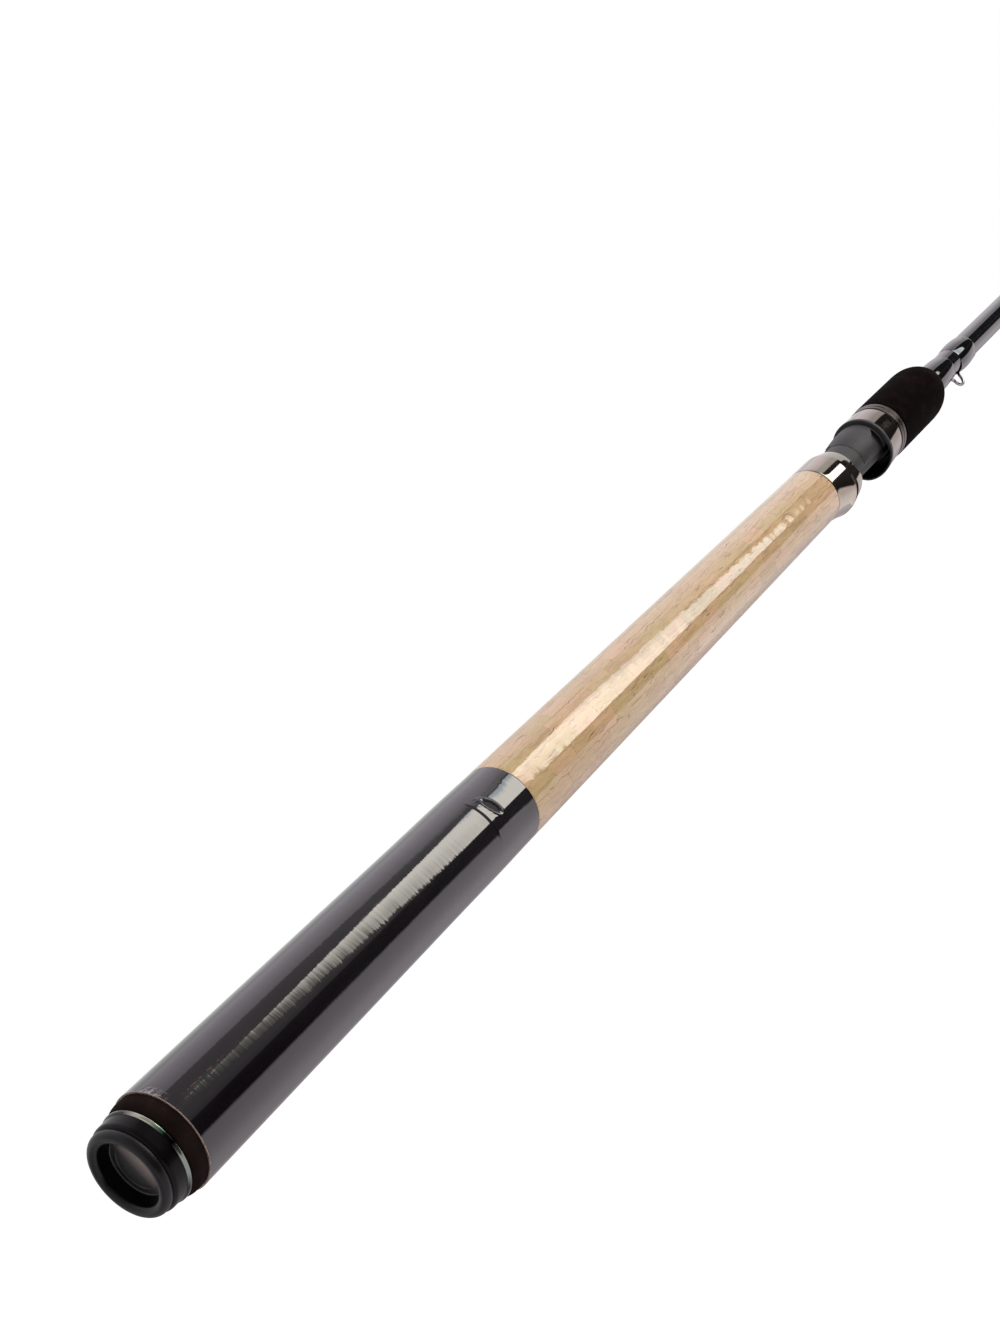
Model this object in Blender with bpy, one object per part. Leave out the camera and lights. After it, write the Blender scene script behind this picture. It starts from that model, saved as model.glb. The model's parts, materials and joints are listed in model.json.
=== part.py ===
"""Feeder rod, 2.7 m: cork and sleeve handle, screw-down reel seat, two blanks and a quiver tip.

The rod lies along X with the butt at the low end. The reel and the line guides hang below it, on
the -Z side. Lengths are in metres. A place along the rod is a station, its distance from the butt
end, and the world origin is on the rod's axis in the middle of the reel seat.
"""
import math

import bmesh
import bpy
from mathutils import Matrix, Vector

# Gaps between pieces, and the small rounding of their edges
GLUE_GAP = 0.0002
SLIDE_GAP = 0.0003
EDGE_BREAK = 0.0003

# Rear handle
CAP_LENGTH = 0.0081
CAP_RADIUS = 0.01245
CAP_LIP_RADIUS = 0.0016
CAP_CREASE_LENGTH = 0.0007
CAP_CREASE_RADIUS = 0.01145
CAP_SHOULDER_RADIUS = 0.0007
CAP_FLANGE_LENGTH = 0.0012
CAP_FLANGE_RISE = 0.00025
CAP_RECESS_RADIUS = 0.0083
CAP_RECESS_DEPTH = 0.0046
CAP_RECESS_FLARE = 0.0004
CAP_PLUG_LENGTH = 0.0120
CAP_PLUG_CHAMFER = 0.0010
COLLAR_LENGTH = 0.0050
COLLAR_BEVEL_LENGTH = 0.0012
SLEEVE_LENGTH = 0.1541
SLEEVE_WALL = 0.00045
SLEEVE_BAND_SETBACK = 0.0200
SLEEVE_BAND_LENGTH = 0.0100
SLEEVE_BAND_RISE = 0.00035
SLEEVE_BAND_RAMP = 0.0008
SLEEVE_BAND_FRONT_SHARE = 0.6
BOSS_LENGTH = 0.0042
BOSS_WIDTH = 0.0076
BOSS_LIP = 0.0009
BOSS_RISE = 0.0003
BOSS_ROOT = 0.6
BOSS_SINK = 0.00005
BOSS_ANGLE = 10.0
CORK_LENGTH = 0.2283
FILM_WALL = 0.0003
HANDLE_REAR_RADIUS = 0.0140
HANDLE_FRONT_RADIUS = 0.01115

# Reel seat
SEAT_BODY_RADIUS = 0.0089
SEAT_BORE_RADIUS = 0.0066
SEAT_LENGTH = 0.1040
SEAT_SADDLE_DEPTH = 0.0073
SADDLE_PAD_RISE = 0.0002
SADDLE_PAD_MARGIN = 0.0016
SEAT_CHAMFER = 0.0005
ARBOR_INSET = 0.0040
SEAT_THREAD_RADIUS = 0.0087
SEAT_THREAD_LENGTH = 0.0470
KEYWAY_WIDTH = 0.0024
KEYWAY_DEPTH = 0.0008
KEY_SETBACK = 0.0010
FIXED_HOOD_LENGTH = 0.0247
FIXED_HOOD_NOSE_RADIUS = 0.0096
FIXED_HOOD_SLANT = 0.0030
HOOD_WALL = 0.0007
HOOD_CROWN_RADIUS = 0.0132
HOOD_POCKET_DEPTH = 0.0170
HOOD_GROOVE_SETBACK = 0.0034
HOOD_GROOVE_DEPTH = 0.0003
HOOD_GROOVE_HALF_WIDTH = 0.0006
HOOD_ROOF_LENGTH = 0.0050
HOOD_FLAT_ANGLE = 30.0
HOOD_BLEND_ANGLE = 82.0
SHROUD_REACH = 0.0185
SHROUD_NOSE_RADIUS = 0.0094
SHROUD_NOSE_LENGTH = 0.0020
SHROUD_TAPER_LENGTH = 0.0090
SHROUD_RADIUS = 0.0104
FOOT_OPENING_DEPTH = 0.0052
FOOT_OPENING_SETBACK = 0.0020
SLIDE_WALL = 0.0007
HOOD_GAP = 0.0253
MOVING_HOOD_LENGTH = 0.0130
MOVING_HOOD_SLANT = 0.0012
MOVING_HOOD_END_WALL = 0.0012
MOVING_HOOD_MOUTH_RADIUS = 0.0109
MOVING_HOOD_FRONT_RADIUS = 0.0114
TRIM_RING_LENGTH = 0.0050
TRIM_RING_RADIUS = 0.0119
TRIM_GROOVE_DEPTH = 0.0004
NUT_LENGTH = 0.0250
NUT_WALL = 0.0010
FOREGRIP_LENGTH = 0.0590
FOREGRIP_RADIUS = 0.0121
FOREGRIP_NOSE_LENGTH = 0.0205
FOREGRIP_NOSE_RADIUS = 0.0074
FOREGRIP_NOSE_POWER = 2.4
FOREGRIP_BORE_RADIUS = 0.0069
FOREGRIP_NECK_LENGTH = 0.0160

# Fixed hood behind its mouth: share of the length, of the rise to the crown, and of the slant
FIXED_HOOD_PROFILE = (
    (0.22, 0.30, 0.0),
    (0.45, 0.68, 0.0),
    (0.68, 0.94, 0.4),
)
# Moving hood from its mouth: share of the length, of the spread, of the rise, and of the slant
MOVING_HOOD_PROFILE = (
    (0.0, 0.0, 1.0, 1.0),
    (0.28, 0.35, 0.92, 0.6),
    (0.60, 0.75, 0.60, 0.0),
    (1.0, 1.0, 0.05, 0.0),
)

# Hook keeper
KEEPER_WHIP_LENGTH = 0.0250
KEEPER_REAR_WHIP_TUCK = 0.0105
KEEPER_GAP = 0.0085
KEEPER_FRONT_WHIP_LENGTH = 0.0180
KEEPER_WIRE_RADIUS = 0.00045
KEEPER_FOOT_LENGTH = 0.0090
KEEPER_FOOT_THICKNESS = 0.00036
KEEPER_FOOT_SPREAD = 1.3
KEEPER_HEIGHT = 0.0042
KEEPER_LOOP_START = 0.04
KEEPER_LOOP_POWER = 0.8
KEEPER_LIFT_SHARE = 0.8
KEEPER_WHIP_WALL = 0.00045

# Blanks
BUTT_BLANK_LENGTH = 1.3650
BUTT_BLANK_REAR_RADIUS = 0.0066
BUTT_BLANK_FRONT_RADIUS = 0.0040
BUTT_BLANK_WALL = 0.0013
FERRULE_OVERLAP = 0.0650
SOCKET_WALL = 0.0011
TIP_BLANK_LENGTH = 1.0200
TIP_BLANK_FRONT_RADIUS = 0.0022
TIP_BLANK_WALL = 0.0009
QUIVER_LENGTH = 0.4150
QUIVER_PLUG_LENGTH = 0.0450
QUIVER_REAR_RADIUS = 0.00135
QUIVER_FRONT_RADIUS = 0.0005
SOCKET_WHIP_LENGTH = 0.0300
FERRULE_WHIP_LENGTH = 0.0120
TIP_END_WHIP_LENGTH = 0.0150
WHIP_SETBACK = 0.0010
WHIP_SHOULDER = 0.0012
WHIP_EDGE_SHARE = 0.5
WHIP_WALL = 0.0005
FINE_WHIP_WALL = 0.0003

# Line guides: share of the section's bare stretch that lies behind the ring, radius of the ring's
# bore, standoff of the ring's rim from the blank
BUTT_GUIDES = (
    (0.398, 0.0100, 0.0110),
    (0.841, 0.0072, 0.0080),
)
TIP_GUIDES = (
    (0.145, 0.0054, 0.0060),
    (0.463, 0.0042, 0.0046),
    (0.751, 0.0034, 0.0036),
)
GUIDE_RING_WALL = 0.0013
GUIDE_RING_WIDTH = 0.0022
GUIDE_BAND_WALL = 0.0008
GUIDE_BAND_WIDTH = 0.0015
GUIDE_WIRE_RADIUS = 0.00055
GUIDE_FOOT_LENGTH = 0.0110
GUIDE_WHIP_OVERHANG = 0.0030
GUIDE_REAR_WHIP_GAP = 0.0014
GUIDE_FRONT_WHIP_GAP = 0.0024
GUIDE_LEG_LEAN = 0.55
GUIDE_FRONT_RATIO = 1.15
GUIDE_LEG_SPREAD = 52.0
GUIDE_BEND = 0.0004
RING_SHOULDER_SHARE = 0.6

# Quiver guides: share of the bare stretch that lies behind the ring, and radius of the ring's bore
QUIVER_GUIDES = (
    (0.185, 0.0021),
    (0.380, 0.0019),
    (0.552, 0.0017),
    (0.705, 0.0015),
    (0.841, 0.0014),
)
QUIVER_WIRE_RADIUS = 0.00032
QUIVER_LEG_HEIGHT = 0.0014
QUIVER_LEG_REACH = 0.0030
QUIVER_FOOT_LENGTH = 0.0070
QUIVER_WHIP_GAP = 0.0008
QUIVER_WHIP_OVERHANG = 0.0015
TIP_TOP_TUBE_LENGTH = 0.0100
TIP_TOP_TUBE_WALL = 0.0003
TIP_TOP_END_WALL = 0.0008
TIP_TOP_RING_BORE = 0.0013
TIP_TOP_RING_WALL = 0.0008
TIP_TOP_RING_WIDTH = 0.0010
TIP_TOP_RING_REACH = 0.0035
TIP_TOP_BAND_WALL = 0.0005
TIP_TOP_BAND_WIDTH = 0.0008
TIP_TOP_BAND_DROP = 0.0008

# Sides of round pieces
HANDLE_SIDES = 32
BLANK_SIDES = 18
WHIP_SIDES = 12
FINE_SIDES = 12
WIRE_SIDES = 6

# How far cutting boxes run past the piece they cut
CUT_OVERSHOOT = 0.0010
CUT_REACH = 0.0200

# Stations that follow from the sizes
COLLAR_START = CAP_LENGTH
SLEEVE_START = COLLAR_START + COLLAR_LENGTH
CORK_START = SLEEVE_START + SLEEVE_LENGTH
CORK_END = CORK_START + CORK_LENGTH
FIXED_HOOD_END = CORK_END + FIXED_HOOD_LENGTH
MOVING_HOOD_START = FIXED_HOOD_END + HOOD_GAP
MOVING_HOOD_END = MOVING_HOOD_START + MOVING_HOOD_LENGTH
TRIM_RING_END = MOVING_HOOD_END + GLUE_GAP + TRIM_RING_LENGTH
FOREGRIP_START = TRIM_RING_END + GLUE_GAP
FOREGRIP_END = FOREGRIP_START + FOREGRIP_LENGTH
SEAT_START = CORK_END + GLUE_GAP
SEAT_END = SEAT_START + SEAT_LENGTH
SEAT_MIDDLE = 0.5 * (FIXED_HOOD_END + MOVING_HOOD_START)
SEAT_THREAD_START = SEAT_END - SEAT_THREAD_LENGTH
KEEPER_REAR_WHIP_START = FOREGRIP_END - KEEPER_REAR_WHIP_TUCK
KEEPER_REAR_WHIP_END = KEEPER_REAR_WHIP_START + KEEPER_WHIP_LENGTH
KEEPER_FRONT_WHIP_START = KEEPER_REAR_WHIP_END + KEEPER_GAP
KEEPER_FRONT_WHIP_END = KEEPER_FRONT_WHIP_START + KEEPER_FRONT_WHIP_LENGTH
BLANK_START = CAP_LENGTH + GLUE_GAP
BUTT_BLANK_END = BLANK_START + BUTT_BLANK_LENGTH
TIP_BLANK_START = BUTT_BLANK_END - FERRULE_OVERLAP
TIP_BLANK_END = TIP_BLANK_START + TIP_BLANK_LENGTH
QUIVER_START = TIP_BLANK_END - QUIVER_PLUG_LENGTH
QUIVER_END = QUIVER_START + QUIVER_LENGTH
TIP_TOP_START = QUIVER_END - TIP_TOP_TUBE_LENGTH
SOCKET_WHIP_START = TIP_BLANK_START + WHIP_SETBACK
TIP_END_WHIP_START = TIP_BLANK_END - WHIP_SETBACK - TIP_END_WHIP_LENGTH
SLIDE_RADIUS = SEAT_BODY_RADIUS + SLIDE_GAP + SLIDE_WALL


def clear_scene():
    for item in list(bpy.data.objects):
        bpy.data.objects.remove(item, do_unlink=True)


def world_x(station):
    return station - SEAT_MIDDLE


def mix(low, high, share):
    return low + (high - low) * share


def handle_radius(station):
    """Outside of the handle, tapering evenly from the collar to the reel seat."""
    share = (station - SLEEVE_START) / (CORK_END - SLEEVE_START)
    return mix(HANDLE_REAR_RADIUS, HANDLE_FRONT_RADIUS, share)


def butt_blank_radius(station):
    share = (station - BLANK_START) / BUTT_BLANK_LENGTH
    return mix(BUTT_BLANK_REAR_RADIUS, BUTT_BLANK_FRONT_RADIUS, share)


def socket_radius():
    """Outside of the tip section where it slides over the end of the butt section."""
    return butt_blank_radius(TIP_BLANK_START) + SLIDE_GAP + SOCKET_WALL


def tip_blank_radius(station):
    share = max(0.0, (station - BUTT_BLANK_END) / (TIP_BLANK_END - BUTT_BLANK_END))
    return mix(socket_radius(), TIP_BLANK_FRONT_RADIUS, share)


def quiver_radius(station):
    share = max(0.0, (station - TIP_BLANK_END) / (QUIVER_END - TIP_BLANK_END))
    return mix(QUIVER_REAR_RADIUS, QUIVER_FRONT_RADIUS, share)


def finish_material(name, colour, roughness, metallic=0.0):
    material = bpy.data.materials.new(name)
    material.use_nodes = True
    shader = material.node_tree.nodes["Principled BSDF"]
    shader.inputs["Base Color"].default_value = (*colour, 1.0)
    shader.inputs["Roughness"].default_value = roughness
    shader.inputs["Metallic"].default_value = metallic
    return material


def make_materials():
    return {
        "cap_rubber": finish_material("cap_rubber", (0.03, 0.03, 0.035), 0.45),
        "eva_foam": finish_material("eva_foam", (0.022, 0.018, 0.016), 0.85),
        "core_foam": finish_material("core_foam", (0.05, 0.05, 0.05), 0.9),
        "shrink_sleeve": finish_material("shrink_sleeve", (0.02, 0.016, 0.02), 0.15),
        "cork": finish_material("cork", (0.62, 0.43, 0.28), 0.7),
        "clear_film": finish_material("clear_film", (0.8, 0.7, 0.6), 0.1),
        "carbon_blank": finish_material("carbon_blank", (0.015, 0.015, 0.018), 0.18),
        "smoked_chrome": finish_material("smoked_chrome", (0.35, 0.32, 0.31), 0.12, 1.0),
        "seat_plastic": finish_material("seat_plastic", (0.07, 0.07, 0.075), 0.5),
        "arbor_foam": finish_material("arbor_foam", (0.3, 0.28, 0.22), 0.9),
        "steel_wire": finish_material("steel_wire", (0.6, 0.6, 0.6), 0.2, 1.0),
        "frame_metal": finish_material("frame_metal", (0.12, 0.12, 0.13), 0.25, 1.0),
        "ceramic": finish_material("ceramic", (0.03, 0.03, 0.035), 0.08),
        "whip_lacquer": finish_material("whip_lacquer", (0.015, 0.012, 0.014), 0.08),
        "white_glass": finish_material("white_glass", (0.75, 0.75, 0.7), 0.3),
    }


def add_object(name, mesh, material, station, parent=None):
    """Put a mesh drawn around a station into the scene, with its origin there on the axis."""
    item = bpy.data.objects.new(name, mesh)
    bpy.context.scene.collection.objects.link(item)
    mesh.materials.clear()
    mesh.materials.append(material)
    mesh.shade_smooth()
    mesh.set_sharp_from_angle(angle=math.radians(35.0))
    item.location = (world_x(station), 0.0, 0.0)
    if parent is not None:
        item.parent = parent
        item.location.x -= parent.location.x
    return item


def axis_empty(name, station):
    empty = bpy.data.objects.new(name, None)
    empty.empty_display_size = 0.02
    empty.location = (world_x(station), 0.0, 0.0)
    bpy.context.scene.collection.objects.link(empty)
    return empty


def mesh_from(name, builder):
    mesh = bpy.data.meshes.new(name)
    builder.to_mesh(mesh)
    builder.free()
    return mesh


def arc(centre, radius, start, end, steps):
    """Points on an arc in the (station, radius) plane, angles in degrees from the +X direction."""
    points = []
    for step in range(steps + 1):
        angle = math.radians(mix(start, end, step / steps))
        points.append((centre[0] + radius * math.cos(angle), centre[1] + radius * math.sin(angle)))
    return points


def turned_mesh(name, outline, origin, sides):
    """Spin an outline of (station, radius) points about the rod's axis."""
    builder = bmesh.new()
    verts = [builder.verts.new((station - origin, 0.0, radius)) for station, radius in outline]
    on_axis = outline[0][1] == 0.0 and outline[-1][1] == 0.0
    edges = [builder.edges.new(pair) for pair in zip(verts, verts[1:])]
    if not on_axis:
        edges.append(builder.edges.new((verts[-1], verts[0])))
    bmesh.ops.spin(
        builder, geom=verts + edges, cent=(0.0, 0.0, 0.0), axis=(1.0, 0.0, 0.0),
        angle=2.0 * math.pi, steps=sides, use_merge=True)
    bmesh.ops.remove_doubles(builder, verts=builder.verts[:], dist=1e-6)
    bmesh.ops.recalc_face_normals(builder, faces=builder.faces[:])
    return mesh_from(name, builder)


def turned(name, outline, material, sides, parent=None):
    origin = outline[0][0]
    return add_object(name, turned_mesh(name, outline, origin, sides), material, origin, parent)


def reel_side_window(angle, flat, end):
    """Share of a reel-side bulge at an angle from -Z: full up to flat, gone past end."""
    share = (abs(angle) - flat) / (end - flat)
    share = min(1.0, max(0.0, share))
    return 1.0 - share * share * (3.0 - 2.0 * share)


def bulged_ring_points(station, radius, bulge, sides, flat, end, slant=0.0):
    """One ring around the axis, pushed out on the reel side, with its plane slanted there."""
    points = []
    for side in range(sides):
        angle = 2.0 * math.pi * side / sides
        folded = min(angle, 2.0 * math.pi - angle)
        reach = radius + bulge * reel_side_window(folded, flat, end)
        shift = slant * reel_side_window(folded, 0.5 * flat, 0.7 * end)
        points.append(Vector((station + shift, reach * math.sin(angle), -reach * math.cos(angle))))
    return points


def lofted_mesh(name, rings, closed):
    """Skin rings of points. A closed loft joins the last ring to the first, as a tube's walls do."""
    builder = bmesh.new()
    loops = [[builder.verts.new(point) for point in ring] for ring in rings]
    pairs = list(zip(loops, loops[1:]))
    if closed:
        pairs.append((loops[-1], loops[0]))
    for low, high in pairs:
        for index in range(len(low)):
            after = (index + 1) % len(low)
            builder.faces.new((low[index], low[after], high[after], high[index]))
    if not closed:
        builder.faces.new(loops[0])
        builder.faces.new(loops[-1])
    bmesh.ops.recalc_face_normals(builder, faces=builder.faces[:])
    return mesh_from(name, builder)


def swept_mesh(name, path, radius, sides=WIRE_SIDES, squeeze=None):
    """A wire along a path of points, round unless squeeze gives its width and height at a point."""
    path = [Vector(point) for point in path]
    rings = []
    side_axis = None
    for index, point in enumerate(path):
        before = path[max(0, index - 1)]
        after = path[min(len(path) - 1, index + 1)]
        along = (after - before).normalized()
        if side_axis is None:
            reference = Vector((0.0, 1.0, 0.0)) if abs(along.y) < 0.9 else Vector((0.0, 0.0, 1.0))
            side_axis = along.cross(reference).normalized()
        side_axis = (side_axis - along * side_axis.dot(along)).normalized()
        up_axis = along.cross(side_axis)
        tall, wide = squeeze[index] if squeeze else (1.0, 1.0)
        ring = []
        for side in range(sides):
            angle = 2.0 * math.pi * (side + 0.5) / sides
            offset = tall * math.cos(angle) * side_axis + wide * math.sin(angle) * up_axis
            ring.append(point + radius * offset)
        rings.append(ring)
    return lofted_mesh(name, rings, closed=False)


def combine(item, mesh, operation):
    """Join or cut an object with a mesh that is drawn in the object's own space."""
    tool = bpy.data.objects.new("tool", mesh)
    bpy.context.scene.collection.objects.link(tool)
    tool.matrix_world = item.matrix_world
    bpy.context.view_layer.update()
    tool.matrix_world = item.matrix_world
    step = item.modifiers.new("combine", "BOOLEAN")
    step.operation = operation
    step.solver = "EXACT"
    step.object = tool
    bpy.context.view_layer.update()
    graph = bpy.context.evaluated_depsgraph_get()
    result = bpy.data.meshes.new_from_object(item.evaluated_get(graph))
    item.modifiers.remove(step)
    material = item.data.materials[0]
    item.data = result
    result.materials.clear()
    result.materials.append(material)
    bpy.data.objects.remove(tool, do_unlink=True)


def box_mesh(name, low, high):
    builder = bmesh.new()
    bmesh.ops.create_cube(builder, size=1.0)
    low = Vector(low)
    high = Vector(high)
    size = high - low
    bmesh.ops.scale(builder, vec=size, verts=builder.verts[:])
    bmesh.ops.translate(builder, vec=(low + high) / 2.0, verts=builder.verts[:])
    return mesh_from(name, builder)


def tube_outline(start, end, outer, inner, steps=1):
    """A tube whose outer and inner radius are functions of the station."""
    stations = [mix(start, end, step / steps) for step in range(steps + 1)]
    outline = [(station, outer(station)) for station in stations]
    outline += [(station, inner(station)) for station in reversed(stations)]
    return outline


def build_butt_cap(materials):
    """Rubber cap: rolled lip round a flat recess, crease, barrel, flange, and a plug for the blank."""
    lip_centre = (CAP_LIP_RADIUS, CAP_RECESS_RADIUS + CAP_RECESS_FLARE + CAP_LIP_RADIUS)
    crease = (lip_centre[0] + CAP_CREASE_LENGTH, CAP_CREASE_RADIUS)
    shoulder_centre = (crease[0] + EDGE_BREAK, CAP_RADIUS - CAP_SHOULDER_RADIUS)
    plug_radius = BUTT_BLANK_REAR_RADIUS - BUTT_BLANK_WALL - GLUE_GAP
    plug_end = CAP_LENGTH + CAP_PLUG_LENGTH
    flange_start = CAP_LENGTH - CAP_FLANGE_LENGTH
    flange_radius = CAP_RADIUS + CAP_FLANGE_RISE
    outline = [(CAP_RECESS_DEPTH, 0.0), (CAP_RECESS_DEPTH, CAP_RECESS_RADIUS)]
    outline += arc(lip_centre, CAP_LIP_RADIUS, 270.0, 55.0, 5)
    outline.append(crease)
    outline += arc(shoulder_centre, CAP_SHOULDER_RADIUS, 150.0, 90.0, 2)
    outline += [(flange_start, CAP_RADIUS), (flange_start + EDGE_BREAK, flange_radius)]
    outline += [(CAP_LENGTH - EDGE_BREAK, flange_radius), (CAP_LENGTH, CAP_RADIUS)]
    outline += [(CAP_LENGTH, plug_radius), (plug_end - CAP_PLUG_CHAMFER, plug_radius)]
    outline += [(plug_end, plug_radius - CAP_PLUG_CHAMFER), (plug_end, 0.0)]
    turned("butt_cap", outline, materials["cap_rubber"], HANDLE_SIDES)


def build_butt_collar(materials):
    """Foam ring between cap and sleeve, flush with the sleeve's inside so its cut edge shows."""
    start = COLLAR_START + GLUE_GAP
    end = SLEEVE_START - GLUE_GAP
    bore = butt_blank_radius(start) + GLUE_GAP
    front = HANDLE_REAR_RADIUS - SLEEVE_WALL
    outline = [(start, bore), (start, CAP_RADIUS)]
    outline += [(start + COLLAR_BEVEL_LENGTH, front - EDGE_BREAK)]
    outline += [(start + 2.0 * COLLAR_BEVEL_LENGTH, front), (end, front), (end, bore)]
    turned("butt_collar", outline, materials["eva_foam"], HANDLE_SIDES)


def build_grip_core(materials):
    def outer(station):
        return handle_radius(station) - SLEEVE_WALL - GLUE_GAP

    def inner(station):
        return butt_blank_radius(station) + GLUE_GAP

    outline = tube_outline(SLEEVE_START, CORK_START - GLUE_GAP, outer, inner)
    turned("grip_core", outline, materials["core_foam"], HANDLE_SIDES)


def boss_mesh(middle, surface_radius):
    """A raised oval rim lying on the sleeve's band, on the side towards -Y."""
    steps = 18
    rings = []
    for step in range(steps):
        turn = 2.0 * math.pi * step / steps
        ring = []
        for inset, height in ((0.0, -BOSS_ROOT), (0.0, 0.0), (0.3, 1.0), (0.7, 1.0), (1.0, -BOSS_ROOT)):
            along = (0.5 * BOSS_LENGTH - inset * BOSS_LIP) * math.cos(turn)
            around = (0.5 * BOSS_WIDTH - inset * BOSS_LIP) * math.sin(turn)
            angle = math.radians(BOSS_ANGLE) + around / surface_radius
            reach = surface_radius + height * BOSS_RISE
            ring.append(Vector((middle + along, -reach * math.cos(angle), reach * math.sin(angle))))
        rings.append(ring)
    return lofted_mesh("boss", rings, closed=True)


def build_black_sleeve(materials):
    """Shrink sleeve with a raised band near its front end and an oval rim standing on the band."""
    band_start = CORK_START - SLEEVE_BAND_SETBACK
    band_end = band_start + SLEEVE_BAND_LENGTH
    end = CORK_START - GLUE_GAP
    front_rise = SLEEVE_BAND_FRONT_SHARE * SLEEVE_BAND_RISE
    rises = ((SLEEVE_START, 0.0), (band_start - SLEEVE_BAND_RAMP, 0.0))
    rises += ((band_start, SLEEVE_BAND_RISE), (band_end, front_rise))
    rises += ((band_end + 2.0 * SLEEVE_BAND_RAMP, 0.0), (end, 0.0))
    outline = [(station, handle_radius(station) + rise) for station, rise in rises]
    outline.append((end, handle_radius(end) - SLEEVE_WALL))
    outline.append((SLEEVE_START, handle_radius(SLEEVE_START) - SLEEVE_WALL))
    sleeve = turned("black_sleeve", outline, materials["shrink_sleeve"], HANDLE_SIDES)
    boss_station = 0.5 * (band_start + band_end)
    surface_radius = handle_radius(boss_station) + 0.5 * (SLEEVE_BAND_RISE + front_rise)
    boss = boss_mesh(boss_station - SLEEVE_START, surface_radius - BOSS_SINK)
    combine(sleeve, boss, "UNION")


def build_cork_grip(materials):
    def outer(station):
        return handle_radius(station) - FILM_WALL - GLUE_GAP

    def inner(station):
        return butt_blank_radius(station) + GLUE_GAP

    outline = tube_outline(CORK_START, CORK_END - GLUE_GAP, outer, inner)
    turned("cork_grip", outline, materials["cork"], HANDLE_SIDES)


def build_clear_sleeve(materials):
    def inner(station):
        return handle_radius(station) - FILM_WALL

    outline = tube_outline(CORK_START, CORK_END - GLUE_GAP, handle_radius, inner)
    turned("clear_sleeve", outline, materials["clear_film"], HANDLE_SIDES)


def build_blanks(materials, tip_axis, quiver_axis):
    """Butt blank, tip blank with its socket and the bore for the quiver's plug, and quiver tip."""
    def butt_inner(station):
        return butt_blank_radius(station) - BUTT_BLANK_WALL

    outline = tube_outline(BLANK_START, BUTT_BLANK_END, butt_blank_radius, butt_inner, 2)
    turned("butt_blank", outline, materials["carbon_blank"], BLANK_SIDES)

    socket_end = BUTT_BLANK_END + 2.0 * SLIDE_GAP
    plug_bore = QUIVER_REAR_RADIUS + SLIDE_GAP
    plug_bore_start = QUIVER_START - SLIDE_GAP
    core_radius = tip_blank_radius(socket_end) - SOCKET_WALL - SLIDE_GAP - TIP_BLANK_WALL
    outline = [(TIP_BLANK_START, socket_radius()), (BUTT_BLANK_END, socket_radius())]
    outline += [(TIP_BLANK_END, TIP_BLANK_FRONT_RADIUS), (TIP_BLANK_END, plug_bore)]
    outline += [(plug_bore_start, plug_bore), (socket_end + SLIDE_GAP, core_radius)]
    outline += [(socket_end, butt_blank_radius(BUTT_BLANK_END) + SLIDE_GAP)]
    outline += [(TIP_BLANK_START, butt_blank_radius(TIP_BLANK_START) + SLIDE_GAP)]
    turned("tip_blank", outline, materials["carbon_blank"], BLANK_SIDES, tip_axis)

    outline = [(QUIVER_START, 0.0), (QUIVER_START, QUIVER_REAR_RADIUS - EDGE_BREAK)]
    outline += [(QUIVER_START + EDGE_BREAK, QUIVER_REAR_RADIUS), (TIP_BLANK_END, QUIVER_REAR_RADIUS)]
    outline += [(QUIVER_END, QUIVER_FRONT_RADIUS), (QUIVER_END, 0.0)]
    turned("quiver_tip", outline, materials["white_glass"], FINE_SIDES, quiver_axis)


def cut_box(item, low, high):
    combine(item, box_mesh("cut", low, high), "DIFFERENCE")


def build_seat_body(materials):
    """Tube with a flat saddle and its pad under the reel, a keyway on top and a threaded front."""
    outline = [(SEAT_START, SEAT_BORE_RADIUS), (SEAT_START, SEAT_BODY_RADIUS)]
    outline += [(SEAT_THREAD_START, SEAT_BODY_RADIUS), (SEAT_THREAD_START, SEAT_THREAD_RADIUS)]
    outline += [(SEAT_END - SEAT_CHAMFER, SEAT_THREAD_RADIUS)]
    outline += [(SEAT_END, SEAT_THREAD_RADIUS - SEAT_CHAMFER), (SEAT_END, SEAT_BORE_RADIUS)]
    body = turned("seat_body", outline, materials["seat_plastic"], HANDLE_SIDES)
    reach = SEAT_THREAD_START - SEAT_START
    pad_start = FIXED_HOOD_END + SADDLE_PAD_MARGIN - SEAT_START
    pad_end = MOVING_HOOD_START - SADDLE_PAD_MARGIN - SEAT_START
    flat = SEAT_SADDLE_DEPTH - SADDLE_PAD_RISE
    cut_box(body, (-CUT_OVERSHOOT, -CUT_REACH, -CUT_REACH), (reach, CUT_REACH, -SEAT_SADDLE_DEPTH))
    cut_box(body, (-CUT_OVERSHOOT, -CUT_REACH, -CUT_REACH), (pad_start, CUT_REACH, -flat))
    cut_box(body, (pad_end, -CUT_REACH, -CUT_REACH), (reach, CUT_REACH, -flat))
    half = KEYWAY_WIDTH / 2.0
    keyway_low = (FIXED_HOOD_LENGTH, -half, SEAT_BODY_RADIUS - KEYWAY_DEPTH)
    cut_box(body, keyway_low, (SEAT_LENGTH + CUT_OVERSHOOT, half, CUT_REACH))

    def outer(station):
        return SEAT_BORE_RADIUS - GLUE_GAP

    def inner(station):
        return butt_blank_radius(station) + GLUE_GAP

    outline = tube_outline(SEAT_START + ARBOR_INSET, SEAT_END - ARBOR_INSET, outer, inner)
    turned("seat_arbor", outline, materials["arbor_foam"], BLANK_SIDES)


def hood_ring(station, radius, crown, slant=0.0):
    """One ring of a hood: a circle that rises to the crown radius over the reel's foot."""
    flat = math.radians(HOOD_FLAT_ANGLE)
    blend = math.radians(HOOD_BLEND_ANGLE)
    return bulged_ring_points(station, radius, crown - radius, HANDLE_SIDES, flat, blend, slant)


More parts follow.
